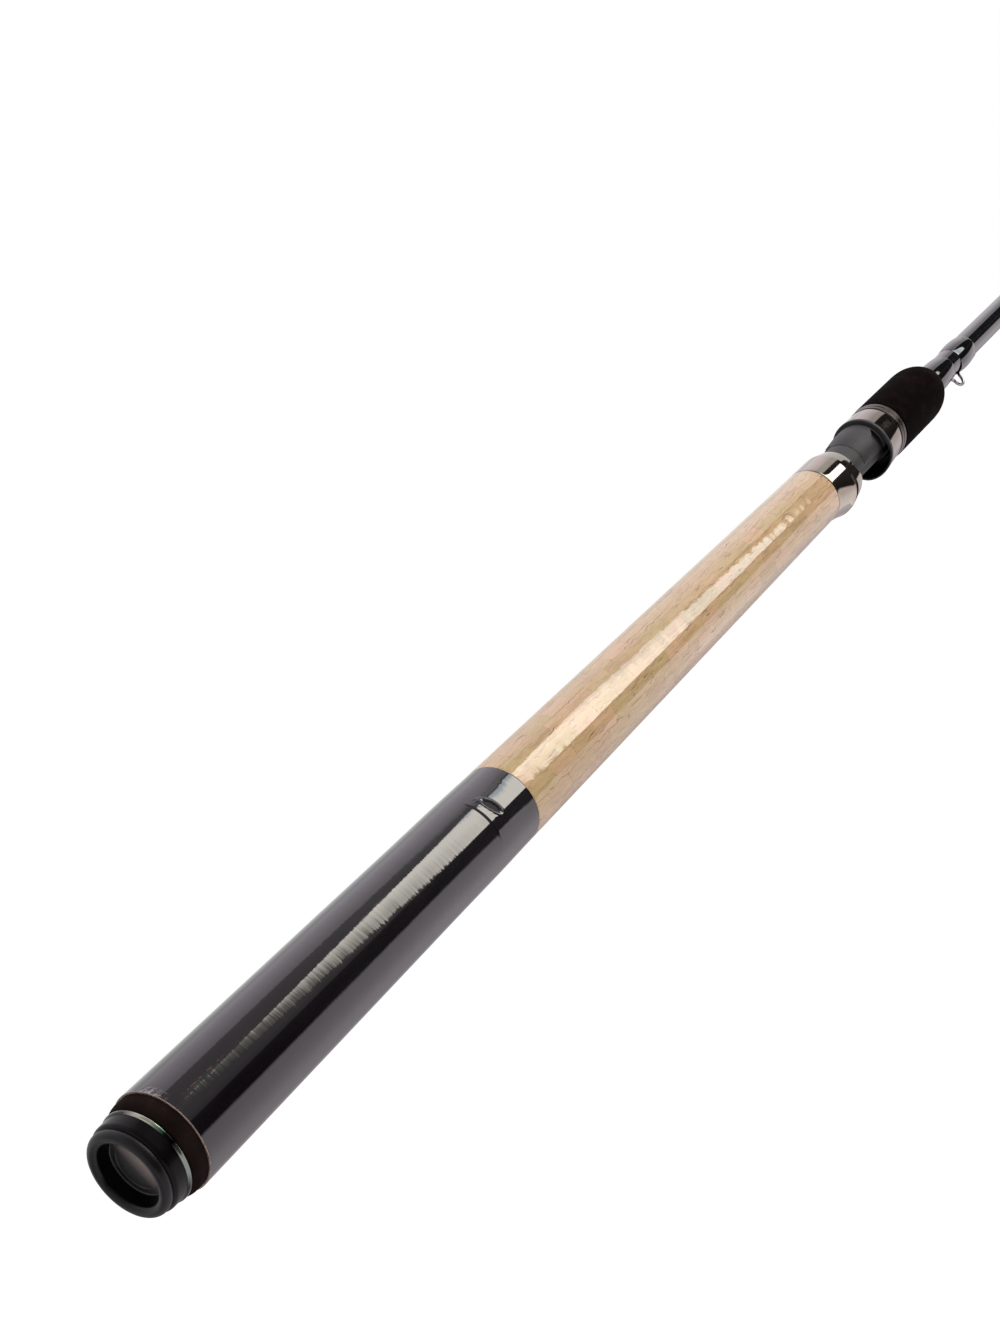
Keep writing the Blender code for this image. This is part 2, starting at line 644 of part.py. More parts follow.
def build_fixed_hood(materials):
    """Metal hood fixed behind the reel: closed against the cork, its pocket open to the front."""
    rear = HANDLE_FRONT_RADIUS
    crown = HOOD_CROWN_RADIUS
    length = FIXED_HOOD_LENGTH
    roof = crown - HOOD_WALL
    slant = -FIXED_HOOD_SLANT
    bore = SEAT_BODY_RADIUS + GLUE_GAP
    pocket_end = length - HOOD_POCKET_DEPTH
    rings = [hood_ring(GLUE_GAP, rear, rear)]
    for along, rise, lean in FIXED_HOOD_PROFILE:
        rings.append(hood_ring(along * length, rear, mix(rear, crown, rise), lean * slant))
    taper_start, last_rise, last_lean = FIXED_HOOD_PROFILE[-1]
    groove = 1.0 - HOOD_GROOVE_SETBACK / length
    groove_half = HOOD_GROOVE_HALF_WIDTH / length
    front_rings = ((groove - groove_half, 0.0), (groove, HOOD_GROOVE_DEPTH))
    front_rings += ((groove + groove_half, 0.0), (1.0, 0.0))
    for along, sink in front_rings:
        share = (along - taper_start) / (1.0 - taper_start)
        radius = mix(rear, FIXED_HOOD_NOSE_RADIUS, share)
        rings.append(hood_ring(along * length, radius, crown - sink, mix(last_lean, 1.0, share) * slant))
    rings += [
        hood_ring(length, bore, roof, slant),
        hood_ring(length - HOOD_ROOF_LENGTH, bore, roof, last_lean * slant),
        hood_ring(pocket_end, bore, mix(rear, crown, FIXED_HOOD_PROFILE[1][1]) - 2.0 * HOOD_WALL),
        hood_ring(pocket_end, bore, bore),
        hood_ring(GLUE_GAP, bore, bore),
    ]
    mesh = lofted_mesh("fixed_hood", rings, closed=True)
    add_object("fixed_hood", mesh, materials["smoked_chrome"], CORK_END)


def build_moving_hood(materials, hood_axis):
    """Hood shell with its mouth towards the fixed one, closed in front round the slide."""
    mouth_crown = HOOD_CROWN_RADIUS - GLUE_GAP
    length = MOVING_HOOD_LENGTH
    mouth = MOVING_HOOD_MOUTH_RADIUS
    front = MOVING_HOOD_FRONT_RADIUS
    slant = -MOVING_HOOD_SLANT
    inside = SLIDE_RADIUS + GLUE_GAP
    rings = []
    walls = []
    for along, spread, rise, lean in MOVING_HOOD_PROFILE:
        radius = mix(mouth, front, spread)
        crown = mix(front, mouth_crown, rise)
        rings.append(hood_ring(along * length, radius, crown, lean * slant))
        walls.append((along * length, crown - HOOD_WALL, lean * slant))
    wall_end = length - MOVING_HOOD_END_WALL
    front_roof = mix(front, mouth_crown, 0.5 * MOVING_HOOD_PROFILE[2][2]) - HOOD_WALL
    rings.append(hood_ring(length, inside, inside))
    rings.append(hood_ring(wall_end, inside, inside))
    rings.append(hood_ring(wall_end - GLUE_GAP, inside, front_roof))
    rings.append(hood_ring(walls[1][0], inside, walls[1][1], walls[1][2]))
    rings.append(hood_ring(walls[0][0], inside, walls[0][1], walls[0][2]))
    mesh = lofted_mesh("moving_hood", rings, closed=True)
    add_object("moving_hood", mesh, materials["smoked_chrome"], MOVING_HOOD_START, hood_axis)


def build_hood_slide(materials, hood_axis):
    """Tube under the moving hood: a shroud reaching back, an opening for the foot and the key."""
    start = MOVING_HOOD_START - SHROUD_REACH
    bore = SEAT_BODY_RADIUS + SLIDE_GAP
    shroud_end = MOVING_HOOD_START - GLUE_GAP
    taper_end = start + SHROUD_NOSE_LENGTH + SHROUD_TAPER_LENGTH
    outline = [(start, bore), (start, SHROUD_NOSE_RADIUS - EDGE_BREAK)]
    outline += [(start + EDGE_BREAK, SHROUD_NOSE_RADIUS)]
    outline += [(start + SHROUD_NOSE_LENGTH, mix(SHROUD_NOSE_RADIUS, SHROUD_RADIUS, 0.4))]
    outline += [(taper_end, SHROUD_RADIUS), (shroud_end - EDGE_BREAK, SHROUD_RADIUS)]
    outline += [(shroud_end, SLIDE_RADIUS), (MOVING_HOOD_END, SLIDE_RADIUS), (MOVING_HOOD_END, bore)]
    slide = turned("hood_slide", outline, materials["seat_plastic"], HANDLE_SIDES, hood_axis)
    opening_end = SHROUD_REACH + MOVING_HOOD_LENGTH - FOOT_OPENING_SETBACK
    opening_low = (-CUT_OVERSHOOT, -CUT_REACH, -CUT_REACH)
    cut_box(slide, opening_low, (opening_end, CUT_REACH, -FOOT_OPENING_DEPTH))
    key_half = KEYWAY_WIDTH / 2.0 - SLIDE_GAP
    key_low = (KEY_SETBACK, -key_half, SEAT_BODY_RADIUS - KEYWAY_DEPTH + SLIDE_GAP)
    key_high = (SHROUD_REACH, key_half, bore + 0.5 * SLIDE_WALL)
    combine(slide, box_mesh("key", key_low, key_high), "UNION")


def build_foregrip(materials, turn_axis):
    """Trim ring, threaded nut and foam grip that turn together and push the hood."""
    nut_bore = SEAT_THREAD_RADIUS + SLIDE_GAP
    nut_radius = nut_bore + NUT_WALL
    start = MOVING_HOOD_END + GLUE_GAP
    end = start + NUT_LENGTH
    outline = [(start, nut_bore), (start, nut_radius), (end, nut_radius), (end, nut_bore)]
    turned("foregrip_nut", outline, materials["seat_plastic"], HANDLE_SIDES, turn_axis)

    ring_bore = nut_radius + GLUE_GAP
    middle = start + 0.5 * TRIM_RING_LENGTH
    outline = [(start, ring_bore), (start, MOVING_HOOD_FRONT_RADIUS)]
    outline += [(start + EDGE_BREAK, TRIM_RING_RADIUS), (middle - TRIM_GROOVE_DEPTH, TRIM_RING_RADIUS)]
    outline += [(middle, TRIM_RING_RADIUS - TRIM_GROOVE_DEPTH)]
    outline += [(middle + TRIM_GROOVE_DEPTH, TRIM_RING_RADIUS)]
    outline += [(TRIM_RING_END - EDGE_BREAK, TRIM_RING_RADIUS)]
    outline += [(TRIM_RING_END, TRIM_RING_RADIUS - EDGE_BREAK), (TRIM_RING_END, ring_bore)]
    turned("trim_ring", outline, materials["smoked_chrome"], HANDLE_SIDES, turn_axis)

    nose_start = FOREGRIP_END - FOREGRIP_NOSE_LENGTH
    drop = FOREGRIP_RADIUS - FOREGRIP_NOSE_RADIUS
    bore_step = FOREGRIP_END - FOREGRIP_NECK_LENGTH
    outline = [(FOREGRIP_START, ring_bore), (FOREGRIP_START, FOREGRIP_RADIUS - EDGE_BREAK)]
    outline += [(FOREGRIP_START + EDGE_BREAK, FOREGRIP_RADIUS), (nose_start, FOREGRIP_RADIUS)]
    nose_steps = 5
    for step in range(1, nose_steps + 1):
        share = step / nose_steps
        fall = share ** FOREGRIP_NOSE_POWER
        outline.append((nose_start + share * FOREGRIP_NOSE_LENGTH, FOREGRIP_RADIUS - drop * fall))
    outline += [(FOREGRIP_END, FOREGRIP_BORE_RADIUS), (bore_step, FOREGRIP_BORE_RADIUS)]
    outline += [(bore_step, nut_bore), (end + GLUE_GAP, nut_bore), (end + GLUE_GAP, ring_bore)]
    turned("foregrip", outline, materials["eva_foam"], HANDLE_SIDES, turn_axis)


def whip_mesh(name, start, end, blank_radius, foot_height, lift, wall, sides):
    """Thread whipping round a blank and the wire foot beside it, lacquered over."""
    flat = 2.0 * math.pi / sides
    blend = 3.0 * flat

    def ring(station, radius, bulge):
        return bulged_ring_points(station - start, radius, bulge, sides, flat, blend)

    rings = []
    for station, share in whip_steps(start, end):
        rings.append(ring(station, blank_radius(station) + GLUE_GAP + wall * share, lift))
    for station in (end, start):
        rings.append(ring(station, blank_radius(station) + GLUE_GAP, foot_height))
    return lofted_mesh(name, rings, closed=True)


def whip_steps(start, end):
    """Stations along a whipping with the share of its wall there, thinner at both ends."""
    shoulder = min(WHIP_SHOULDER, 0.2 * (end - start))
    edge = WHIP_EDGE_SHARE
    return ((start, edge), (start + shoulder, 1.0), (end - shoulder, 1.0), (end, edge))


def build_hook_keeper(materials):
    """A bent wire loop on the reel side, its two hammered feet bound down by whippings."""
    wire = KEEPER_WIRE_RADIUS
    foot_half = 0.5 * KEEPER_FOOT_THICKNESS
    middle = 0.5 * (KEEPER_REAR_WHIP_END + KEEPER_FRONT_WHIP_START)
    span = KEEPER_GAP / 2.0
    foot_rear = -span - KEEPER_FOOT_LENGTH
    foot_front = span + KEEPER_FOOT_LENGTH

    def foot_z(along):
        return -(butt_blank_radius(middle + along) + GLUE_GAP + foot_half)

    flat = (foot_half / wire, KEEPER_FOOT_SPREAD)
    round_wire = (1.0, 1.0)
    path = [((foot_rear, 0.0, foot_z(foot_rear)), flat)]
    path += [((EDGE_BREAK - span, 0.0, foot_z(-span)), flat)]
    lift = butt_blank_radius(middle) + GLUE_GAP + wire
    steps = 12
    for step in range(steps + 1):
        angle = math.pi * mix(KEEPER_LOOP_START, 1.0 - KEEPER_LOOP_START, step / steps)
        along = -(span - 2.0 * wire) * math.cos(angle)
        height = KEEPER_HEIGHT * math.sin(angle) ** KEEPER_LOOP_POWER
        path.append(((along, 0.0, -lift - height), round_wire))
    path += [((span - EDGE_BREAK, 0.0, foot_z(span)), flat)]
    path += [((foot_front, 0.0, foot_z(foot_front)), flat)]
    points = [point for point, size in path]
    squeeze = [size for point, size in path]
    mesh = swept_mesh("hook_keeper", points, wire, 8, squeeze)
    add_object("hook_keeper", mesh, materials["steel_wire"], middle)

    foot_height = KEEPER_FOOT_THICKNESS + GLUE_GAP
    lift = KEEPER_LIFT_SHARE * foot_height
    spans = (
        ("keeper_whip_rear", KEEPER_REAR_WHIP_START, KEEPER_REAR_WHIP_END),
        ("keeper_whip_front", KEEPER_FRONT_WHIP_START, KEEPER_FRONT_WHIP_END),
    )
    for name, start, end in spans:
        mesh = whip_mesh(
            name, start, end, butt_blank_radius, foot_height, lift, KEEPER_WHIP_WALL, BLANK_SIDES)
        add_object(name, mesh, materials["whip_lacquer"], start)


def shifted(mesh, offset):
    mesh.transform(Matrix.Translation(Vector(offset)))
    return mesh


def guide_ring_outline(bore, wall, width):
    """Section of a ceramic ring, rounded towards the line that runs through it."""
    half = 0.5 * width
    outer = bore + wall
    middle = bore + 0.5 * wall
    shoulder = RING_SHOULDER_SHARE * half
    return [(-half, middle), (0.0, bore), (half, middle), (shoulder, outer), (-shoulder, outer)]


def band_outline(inner, wall, width):
    half = 0.5 * width
    return [(-half, inner), (-half, inner + wall), (half, inner + wall), (half, inner)]


def build_guide(index, layout, stretch, radius_at, materials, parent):
    """Wire frame with a rear leg and two front legs, a ceramic ring in its band, and two whips."""
    share, bore, standoff = layout
    station = mix(stretch[0], stretch[1], share)
    ring_radius = bore + GUIDE_RING_WALL
    centre_z = -(radius_at(station) + standoff + ring_radius)
    centre = (0.0, 0.0, centre_z)
    ring_name = "guide_%d_ring" % index
    outline = guide_ring_outline(bore, GUIDE_RING_WALL, GUIDE_RING_WIDTH)
    mesh = shifted(turned_mesh(ring_name, outline, 0.0, BLANK_SIDES), centre)
    add_object(ring_name, mesh, materials["ceramic"], station, parent)

    frame_name = "guide_%d_frame" % index
    band_inner = ring_radius + GLUE_GAP
    outline = band_outline(band_inner, GUIDE_BAND_WALL, GUIDE_BAND_WIDTH)
    mesh = shifted(turned_mesh(frame_name, outline, 0.0, BLANK_SIDES), centre)
    frame = add_object(frame_name, mesh, materials["frame_metal"], station, parent)

    wire = GUIDE_WIRE_RADIUS
    rear_reach = GUIDE_LEG_LEAN * (standoff + bore)
    front_reach = GUIDE_FRONT_RATIO * rear_reach
    rear_foot = -rear_reach - GUIDE_FOOT_LENGTH
    front_foot = front_reach + GUIDE_FOOT_LENGTH

    def foot_z(along):
        return -(radius_at(station + along) + GLUE_GAP + wire)

    grip_radius = band_inner + wire
    bend_z = foot_z(-rear_reach) - GUIDE_BEND
    rear_leg = [(rear_foot, 0.0, foot_z(rear_foot)), (-rear_reach - 2.0 * wire, 0.0, foot_z(-rear_reach))]
    rear_leg += [(-rear_reach, 0.0, bend_z), (0.0, 0.0, centre_z + grip_radius)]
    combine(frame, swept_mesh("rear_leg", rear_leg, wire), "UNION")
    spread = math.radians(GUIDE_LEG_SPREAD)
    root_z = foot_z(front_reach) - 0.2 * wire
    for side in (-1.0, 1.0):
        hold = (0.0, side * grip_radius * math.sin(spread), centre_z + grip_radius * math.cos(spread))
        root = (front_reach + wire * (1.6 + 0.5 * side), 0.3 * side * wire, root_z)
        combine(frame, swept_mesh("front_leg", [root, hold], wire), "UNION")
    foot = [(front_reach - GUIDE_BEND, 0.0, foot_z(front_reach)), (front_foot, 0.0, foot_z(front_foot))]
    combine(frame, swept_mesh("front_foot", foot, wire), "UNION")

    foot_height = 2.0 * wire + GLUE_GAP
    rear_span = (rear_foot - GUIDE_WHIP_OVERHANG, -rear_reach - GUIDE_REAR_WHIP_GAP)
    front_span = (front_reach + GUIDE_FRONT_WHIP_GAP, front_foot + GUIDE_WHIP_OVERHANG)
    for end_name, span in (("rear", rear_span), ("front", front_span)):
        name = "guide_%d_whip_%s" % (index, end_name)
        low = station + span[0]
        high = station + span[1]
        mesh = whip_mesh(name, low, high, radius_at, foot_height, foot_height, WHIP_WALL, WHIP_SIDES)
        add_object(name, mesh, materials["whip_lacquer"], low, parent)


def plain_whip(name, start, length, radius_at, wall, materials, parent=None):
    """Thread whipping round a bare blank."""
    end = start + length
    outline = [(start, radius_at(start) + GLUE_GAP)]
    for station, share in whip_steps(start, end):
        outline.append((station, radius_at(station) + GLUE_GAP + wall * share))
    outline.append((end, radius_at(end) + GLUE_GAP))
    turned(name, outline, materials["whip_lacquer"], WHIP_SIDES, parent)


def build_quiver_guides(materials, parent):
    """Small one-piece wire guides, each with a single foot in front of its ring."""
    wire = QUIVER_WIRE_RADIUS
    reach = QUIVER_LEG_REACH
    foot_end = reach + QUIVER_FOOT_LENGTH
    for index, (share, bore) in enumerate(QUIVER_GUIDES, start=1):
        name = "quiver_guide_%d" % index
        station = mix(TIP_BLANK_END, TIP_TOP_START, share)
        loop_radius = bore + wire
        blank = quiver_radius(station)
        centre_z = -(blank + QUIVER_LEG_HEIGHT + loop_radius + wire)
        outline = arc((0.0, loop_radius), wire, -90.0, 198.0, 4)
        mesh = shifted(turned_mesh(name, outline, 0.0, WHIP_SIDES), (0.0, 0.0, centre_z))
        guide = add_object(name, mesh, materials["frame_metal"], station, parent)
        foot_z = -(blank + GLUE_GAP + wire)
        leg = [(0.0, 0.0, centre_z + loop_radius), (reach - 2.5 * wire, 0.0, foot_z - wire)]
        leg += [(reach, 0.0, foot_z), (foot_end, 0.0, foot_z)]
        combine(guide, swept_mesh("leg", leg, wire), "UNION")
        low = station + reach + QUIVER_WHIP_GAP
        high = station + foot_end + QUIVER_WHIP_OVERHANG
        whip_name = "quiver_whip_%d" % index
        foot_height = 2.0 * wire + GLUE_GAP
        mesh = whip_mesh(
            whip_name, low, high, quiver_radius, foot_height, foot_height, FINE_WHIP_WALL, FINE_SIDES)
        add_object(whip_name, mesh, materials["whip_lacquer"], low, parent)


def build_tip_top(materials, parent):
    """Tube over the end of the quiver tip, with the last ring below its mouth."""
    wire = QUIVER_WIRE_RADIUS
    start = QUIVER_END + GLUE_GAP
    end = QUIVER_END + TIP_TOP_END_WALL
    bore = quiver_radius(TIP_TOP_START) + GLUE_GAP
    tube_radius = bore + TIP_TOP_TUBE_WALL
    outline = [(start, 0.0), (start, bore), (TIP_TOP_START, bore), (TIP_TOP_START, tube_radius)]
    outline += [(end, tube_radius), (end, 0.0)]
    tube = turned("tip_top_tube", outline, materials["frame_metal"], FINE_SIDES, parent)
    band_radius = TIP_TOP_RING_BORE + TIP_TOP_RING_WALL + GLUE_GAP
    centre_x = TIP_TOP_RING_REACH - GLUE_GAP
    centre_z = -(band_radius + TIP_TOP_BAND_DROP)
    outline = band_outline(band_radius, TIP_TOP_BAND_WALL, TIP_TOP_BAND_WIDTH)
    band = turned_mesh("band", outline, 0.0, WHIP_SIDES)
    combine(tube, shifted(band, (centre_x, 0.0, centre_z)), "UNION")
    hold_z = centre_z + band_radius + 0.5 * TIP_TOP_BAND_WALL
    neck = [(end - start - 0.5 * TIP_TOP_END_WALL, 0.0, 0.0), (centre_x, 0.0, hold_z)]
    combine(tube, swept_mesh("neck", neck, wire), "UNION")

    outline = guide_ring_outline(TIP_TOP_RING_BORE, TIP_TOP_RING_WALL, TIP_TOP_RING_WIDTH)
    ring = shifted(turned_mesh("tip_top_ring", outline, 0.0, WHIP_SIDES), (0.0, 0.0, centre_z))
    add_object("tip_top_ring", ring, materials["ceramic"], QUIVER_END + TIP_TOP_RING_REACH, parent)


def build_line_guides(materials, tip_axis):
    """Guides of both sections, placed by their shares of each section's bare stretch."""
    butt_stretch = (KEEPER_FRONT_WHIP_END, TIP_BLANK_START)
    tip_stretch = (SOCKET_WHIP_START + SOCKET_WHIP_LENGTH, TIP_END_WHIP_START)
    for index, layout in enumerate(BUTT_GUIDES, start=1):
        build_guide(index, layout, butt_stretch, butt_blank_radius, materials, None)
    for index, layout in enumerate(TIP_GUIDES, start=len(BUTT_GUIDES) + 1):
        build_guide(index, layout, tip_stretch, tip_blank_radius, materials, tip_axis)


def build_joint_whips(materials, tip_axis):
    """Whippings that stop the blanks from splitting at the two joints."""
    ferrule_start = TIP_BLANK_START - WHIP_SETBACK - FERRULE_WHIP_LENGTH
    plain_whip("ferrule_whip", ferrule_start, FERRULE_WHIP_LENGTH, butt_blank_radius, WHIP_WALL, materials)
    plain_whip("socket_whip", SOCKET_WHIP_START, SOCKET_WHIP_LENGTH, tip_blank_radius, WHIP_WALL,
               materials, tip_axis)
    plain_whip("tip_end_whip", TIP_END_WHIP_START, TIP_END_WHIP_LENGTH, tip_blank_radius,
               FINE_WHIP_WALL, materials, tip_axis)


def build_rod():
    clear_scene()
    materials = make_materials()
    hood_axis = axis_empty("hood_slide_axis", MOVING_HOOD_START)
    turn_axis = axis_empty("foregrip_turn_axis", FOREGRIP_START)
    tip_axis = axis_empty("tip_section_axis", TIP_BLANK_START)
    quiver_axis = axis_empty("quiver_tip_axis", QUIVER_START)
    build_butt_cap(materials)
    build_butt_collar(materials)
    build_grip_core(materials)
    build_black_sleeve(materials)
    build_cork_grip(materials)
    build_clear_sleeve(materials)
    build_blanks(materials, tip_axis, quiver_axis)
    build_seat_body(materials)
    build_fixed_hood(materials)
    build_moving_hood(materials, hood_axis)
    build_hood_slide(materials, hood_axis)
    build_foregrip(materials, turn_axis)
    build_hook_keeper(materials)
    build_line_guides(materials, tip_axis)
    build_joint_whips(materials, tip_axis)
    build_quiver_guides(materials, quiver_axis)
    build_tip_top(materials, quiver_axis)


build_rod()
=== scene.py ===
"""Looks of the feeder rod: finer pieces, finishes, studio light and camera.

The rod lies along X, butt at the low end, with the reel side towards -Z. Lengths are in metres. A
station is a distance from the butt end.
"""
import json
import math

import bmesh
import bpy
from mathutils import Matrix, Vector


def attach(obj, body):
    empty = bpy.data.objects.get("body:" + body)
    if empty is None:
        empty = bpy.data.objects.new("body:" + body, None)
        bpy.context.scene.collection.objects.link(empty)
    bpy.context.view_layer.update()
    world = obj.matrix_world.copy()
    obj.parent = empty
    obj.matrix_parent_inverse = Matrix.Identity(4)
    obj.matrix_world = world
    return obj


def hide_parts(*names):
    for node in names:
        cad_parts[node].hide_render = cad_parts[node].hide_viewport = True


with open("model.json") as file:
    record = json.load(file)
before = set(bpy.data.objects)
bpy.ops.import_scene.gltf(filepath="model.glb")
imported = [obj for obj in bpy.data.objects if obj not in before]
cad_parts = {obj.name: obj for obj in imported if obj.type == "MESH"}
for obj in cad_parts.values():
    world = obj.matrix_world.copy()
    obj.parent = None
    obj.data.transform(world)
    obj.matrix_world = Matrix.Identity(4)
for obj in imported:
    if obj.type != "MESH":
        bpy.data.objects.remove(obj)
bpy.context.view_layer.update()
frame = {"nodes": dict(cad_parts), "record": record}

RECORD = frame["record"]
BODIES = RECORD["behaviour"]["bodies"]
BODY_OF = {node: body for body, nodes in BODIES.items() for node in nodes}
SLOT_OF = {part["node"]: part["material_slot"] for part in RECORD["subparts"]}

# Sizes that the solids were made from
SEAT_MIDDLE = 0.43285
GLUE_GAP = 0.0002
SLIDE_GAP = 0.0003
CAP_LENGTH = 0.0081
CAP_RADIUS = 0.01245
COLLAR_LENGTH = 0.005
SLEEVE_LENGTH = 0.1541
SLEEVE_WALL = 0.00045
BAND_SETBACK = 0.02
BAND_LENGTH = 0.01
BAND_RISE = 0.00035
CORK_LENGTH = 0.2283
REAR_RADIUS = 0.014
FRONT_RADIUS = 0.01115
SEAT_LENGTH = 0.104
SEAT_BODY_RADIUS = 0.0089
SEAT_BORE_RADIUS = 0.0066
SEAT_SADDLE_DEPTH = 0.0073
SADDLE_PAD_RISE = 0.0002
SADDLE_PAD_MARGIN = 0.0016
SEAT_THREAD_LENGTH = 0.047
SEAT_THREAD_RADIUS = 0.0087
KEYWAY_WIDTH = 0.0024
KEYWAY_DEPTH = 0.0008
HOOD_LENGTH = 0.0247
HOOD_WALL = 0.0007
HOOD_CROWN = 0.0132
HOOD_NOSE = 0.0096
HOOD_SLANT = 0.003
HOOD_POCKET = 0.017
HOOD_GAP = 0.0253
MOVING_LENGTH = 0.013
MOVING_SLANT = 0.0012
MOVING_MOUTH = 0.0109
MOVING_FRONT = 0.0114
SHROUD_REACH = 0.0185
SHROUD_NOSE = 0.0094
SHROUD_RADIUS = 0.0104
SLIDE_RADIUS = 0.0099
TRIM_LENGTH = 0.005
TRIM_RADIUS = 0.0119
NUT_LENGTH = 0.025
NUT_RADIUS = 0.01
GRIP_LENGTH = 0.059
GRIP_RADIUS = 0.0121
GRIP_NOSE_LENGTH = 0.0205
GRIP_NOSE_RADIUS = 0.0074
BLANK_START = 0.0083
BUTT_BLANK_LENGTH = 1.365
BUTT_REAR_RADIUS = 0.0066
BUTT_FRONT_RADIUS = 0.004
SOCKET_WALL = 0.0011
TIP_FRONT_RADIUS = 0.0022
QUIVER_REAR_RADIUS = 0.00135
QUIVER_FRONT_RADIUS = 0.0005
JOINT_LENGTH = 0.065
TIP_LENGTH = 1.02
PLUG_LENGTH = 0.045
QUIVER_LENGTH = 0.415

# How far the hoods' swelling reaches round the seat from the reel side: full, and faded away
SWELL_FLAT = math.radians(30.0)
SWELL_END = math.radians(82.0)

# World places of the slanted edge on the reel side, where it bends and where it ends
EDGE_BEND = 0.0004
EDGE_END = 0.0112

# Well past every piece, for the tools that cut
FAR = 0.02

# Stations
SLEEVE_START = CAP_LENGTH + COLLAR_LENGTH
CORK_START = SLEEVE_START + SLEEVE_LENGTH
CORK_END = CORK_START + CORK_LENGTH
HOOD_END = CORK_END + HOOD_LENGTH
MOVING_START = HOOD_END + HOOD_GAP
MOVING_END = MOVING_START + MOVING_LENGTH
NUT_START = MOVING_END + GLUE_GAP
TRIM_END = NUT_START + TRIM_LENGTH
GRIP_START = TRIM_END + GLUE_GAP
GRIP_END = GRIP_START + GRIP_LENGTH
SEAT_START = CORK_END + GLUE_GAP
SEAT_END = SEAT_START + SEAT_LENGTH
THREAD_START = SEAT_END - SEAT_THREAD_LENGTH
BUTT_END = BLANK_START + BUTT_BLANK_LENGTH
TIP_START = BUTT_END - JOINT_LENGTH
TIP_END = TIP_START + TIP_LENGTH
QUIVER_START = TIP_END - PLUG_LENGTH
QUIVER_END = QUIVER_START + QUIVER_LENGTH
KEEPER_REAR = (GRIP_END - 0.0105, GRIP_END + 0.0145)
KEEPER_FRONT = (KEEPER_REAR[1] + 0.0085, KEEPER_REAR[1] + 0.0265)
TOP_TUBE_START = QUIVER_END - 0.01

FLOOR_Z = -0.25
FINISHES = {}


def mix(low, high, share):
    return low + (high - low) * share


def spaced(low, high, steps):
    return [mix(low, high, step / steps) for step in range(steps + 1)]


def smooth(share):
    share = min(1.0, max(0.0, share))
    return share * share * (3.0 - 2.0 * share)


def world_x(station):
    return station - SEAT_MIDDLE


def handle_radius(station):
    return mix(REAR_RADIUS, FRONT_RADIUS, (station - SLEEVE_START) / (CORK_END - SLEEVE_START))


def butt_radius(station):
    return mix(BUTT_REAR_RADIUS, BUTT_FRONT_RADIUS, (station - BLANK_START) / BUTT_BLANK_LENGTH)


def socket_radius():
    return butt_radius(TIP_START) + SLIDE_GAP + SOCKET_WALL


def tip_radius(station):
    share = max(0.0, (station - BUTT_END) / (TIP_END - BUTT_END))
    return mix(socket_radius(), TIP_FRONT_RADIUS, share)


def quiver_radius(station):
    share = max(0.0, (station - TIP_END) / (QUIVER_END - TIP_END))
    return mix(QUIVER_REAR_RADIUS, QUIVER_FRONT_RADIUS, share)


def linear(red, green, blue):
    """A display colour, 0 to 255, as the linear values that shaders take."""
    values = []
    for level in (red, green, blue):
        level = level / 255.0
        values.append(level / 12.92 if level <= 0.04045 else ((level + 0.055) / 1.055) ** 2.4)
    return (*values, 1.0)


def opaque(colour):
    """A grey level or three colour values, as the four values of a colour socket."""
    return (colour, colour, colour, 1.0) if isinstance(colour, float) else (*colour[:3], 1.0)


def feed(tree, socket, value):
    """Link a socket to another one, or set its value."""
    if isinstance(value, bpy.types.NodeSocket):
        tree.links.new(value, socket)
    else:
        socket.default_value = value


def add_node(tree, kind, inputs=(), **settings):
    node = tree.nodes.new(kind)
    for name, value in settings.items():
        setattr(node, name, value)
    for socket, value in dict(inputs).items():
        feed(tree, node.inputs[socket], value)
    return node


def add_ramp(tree, factor, stops):
    """A ramp through stops of position and colour."""
    node = add_node(tree, "ShaderNodeValToRGB", {"Fac": factor})
    elements = node.color_ramp.elements
    while len(elements) < len(stops):
        elements.new(0.5)
    for element, (position, colour) in zip(elements, stops):
        element.position = position
        element.color = opaque(colour)
    return node.outputs[0]


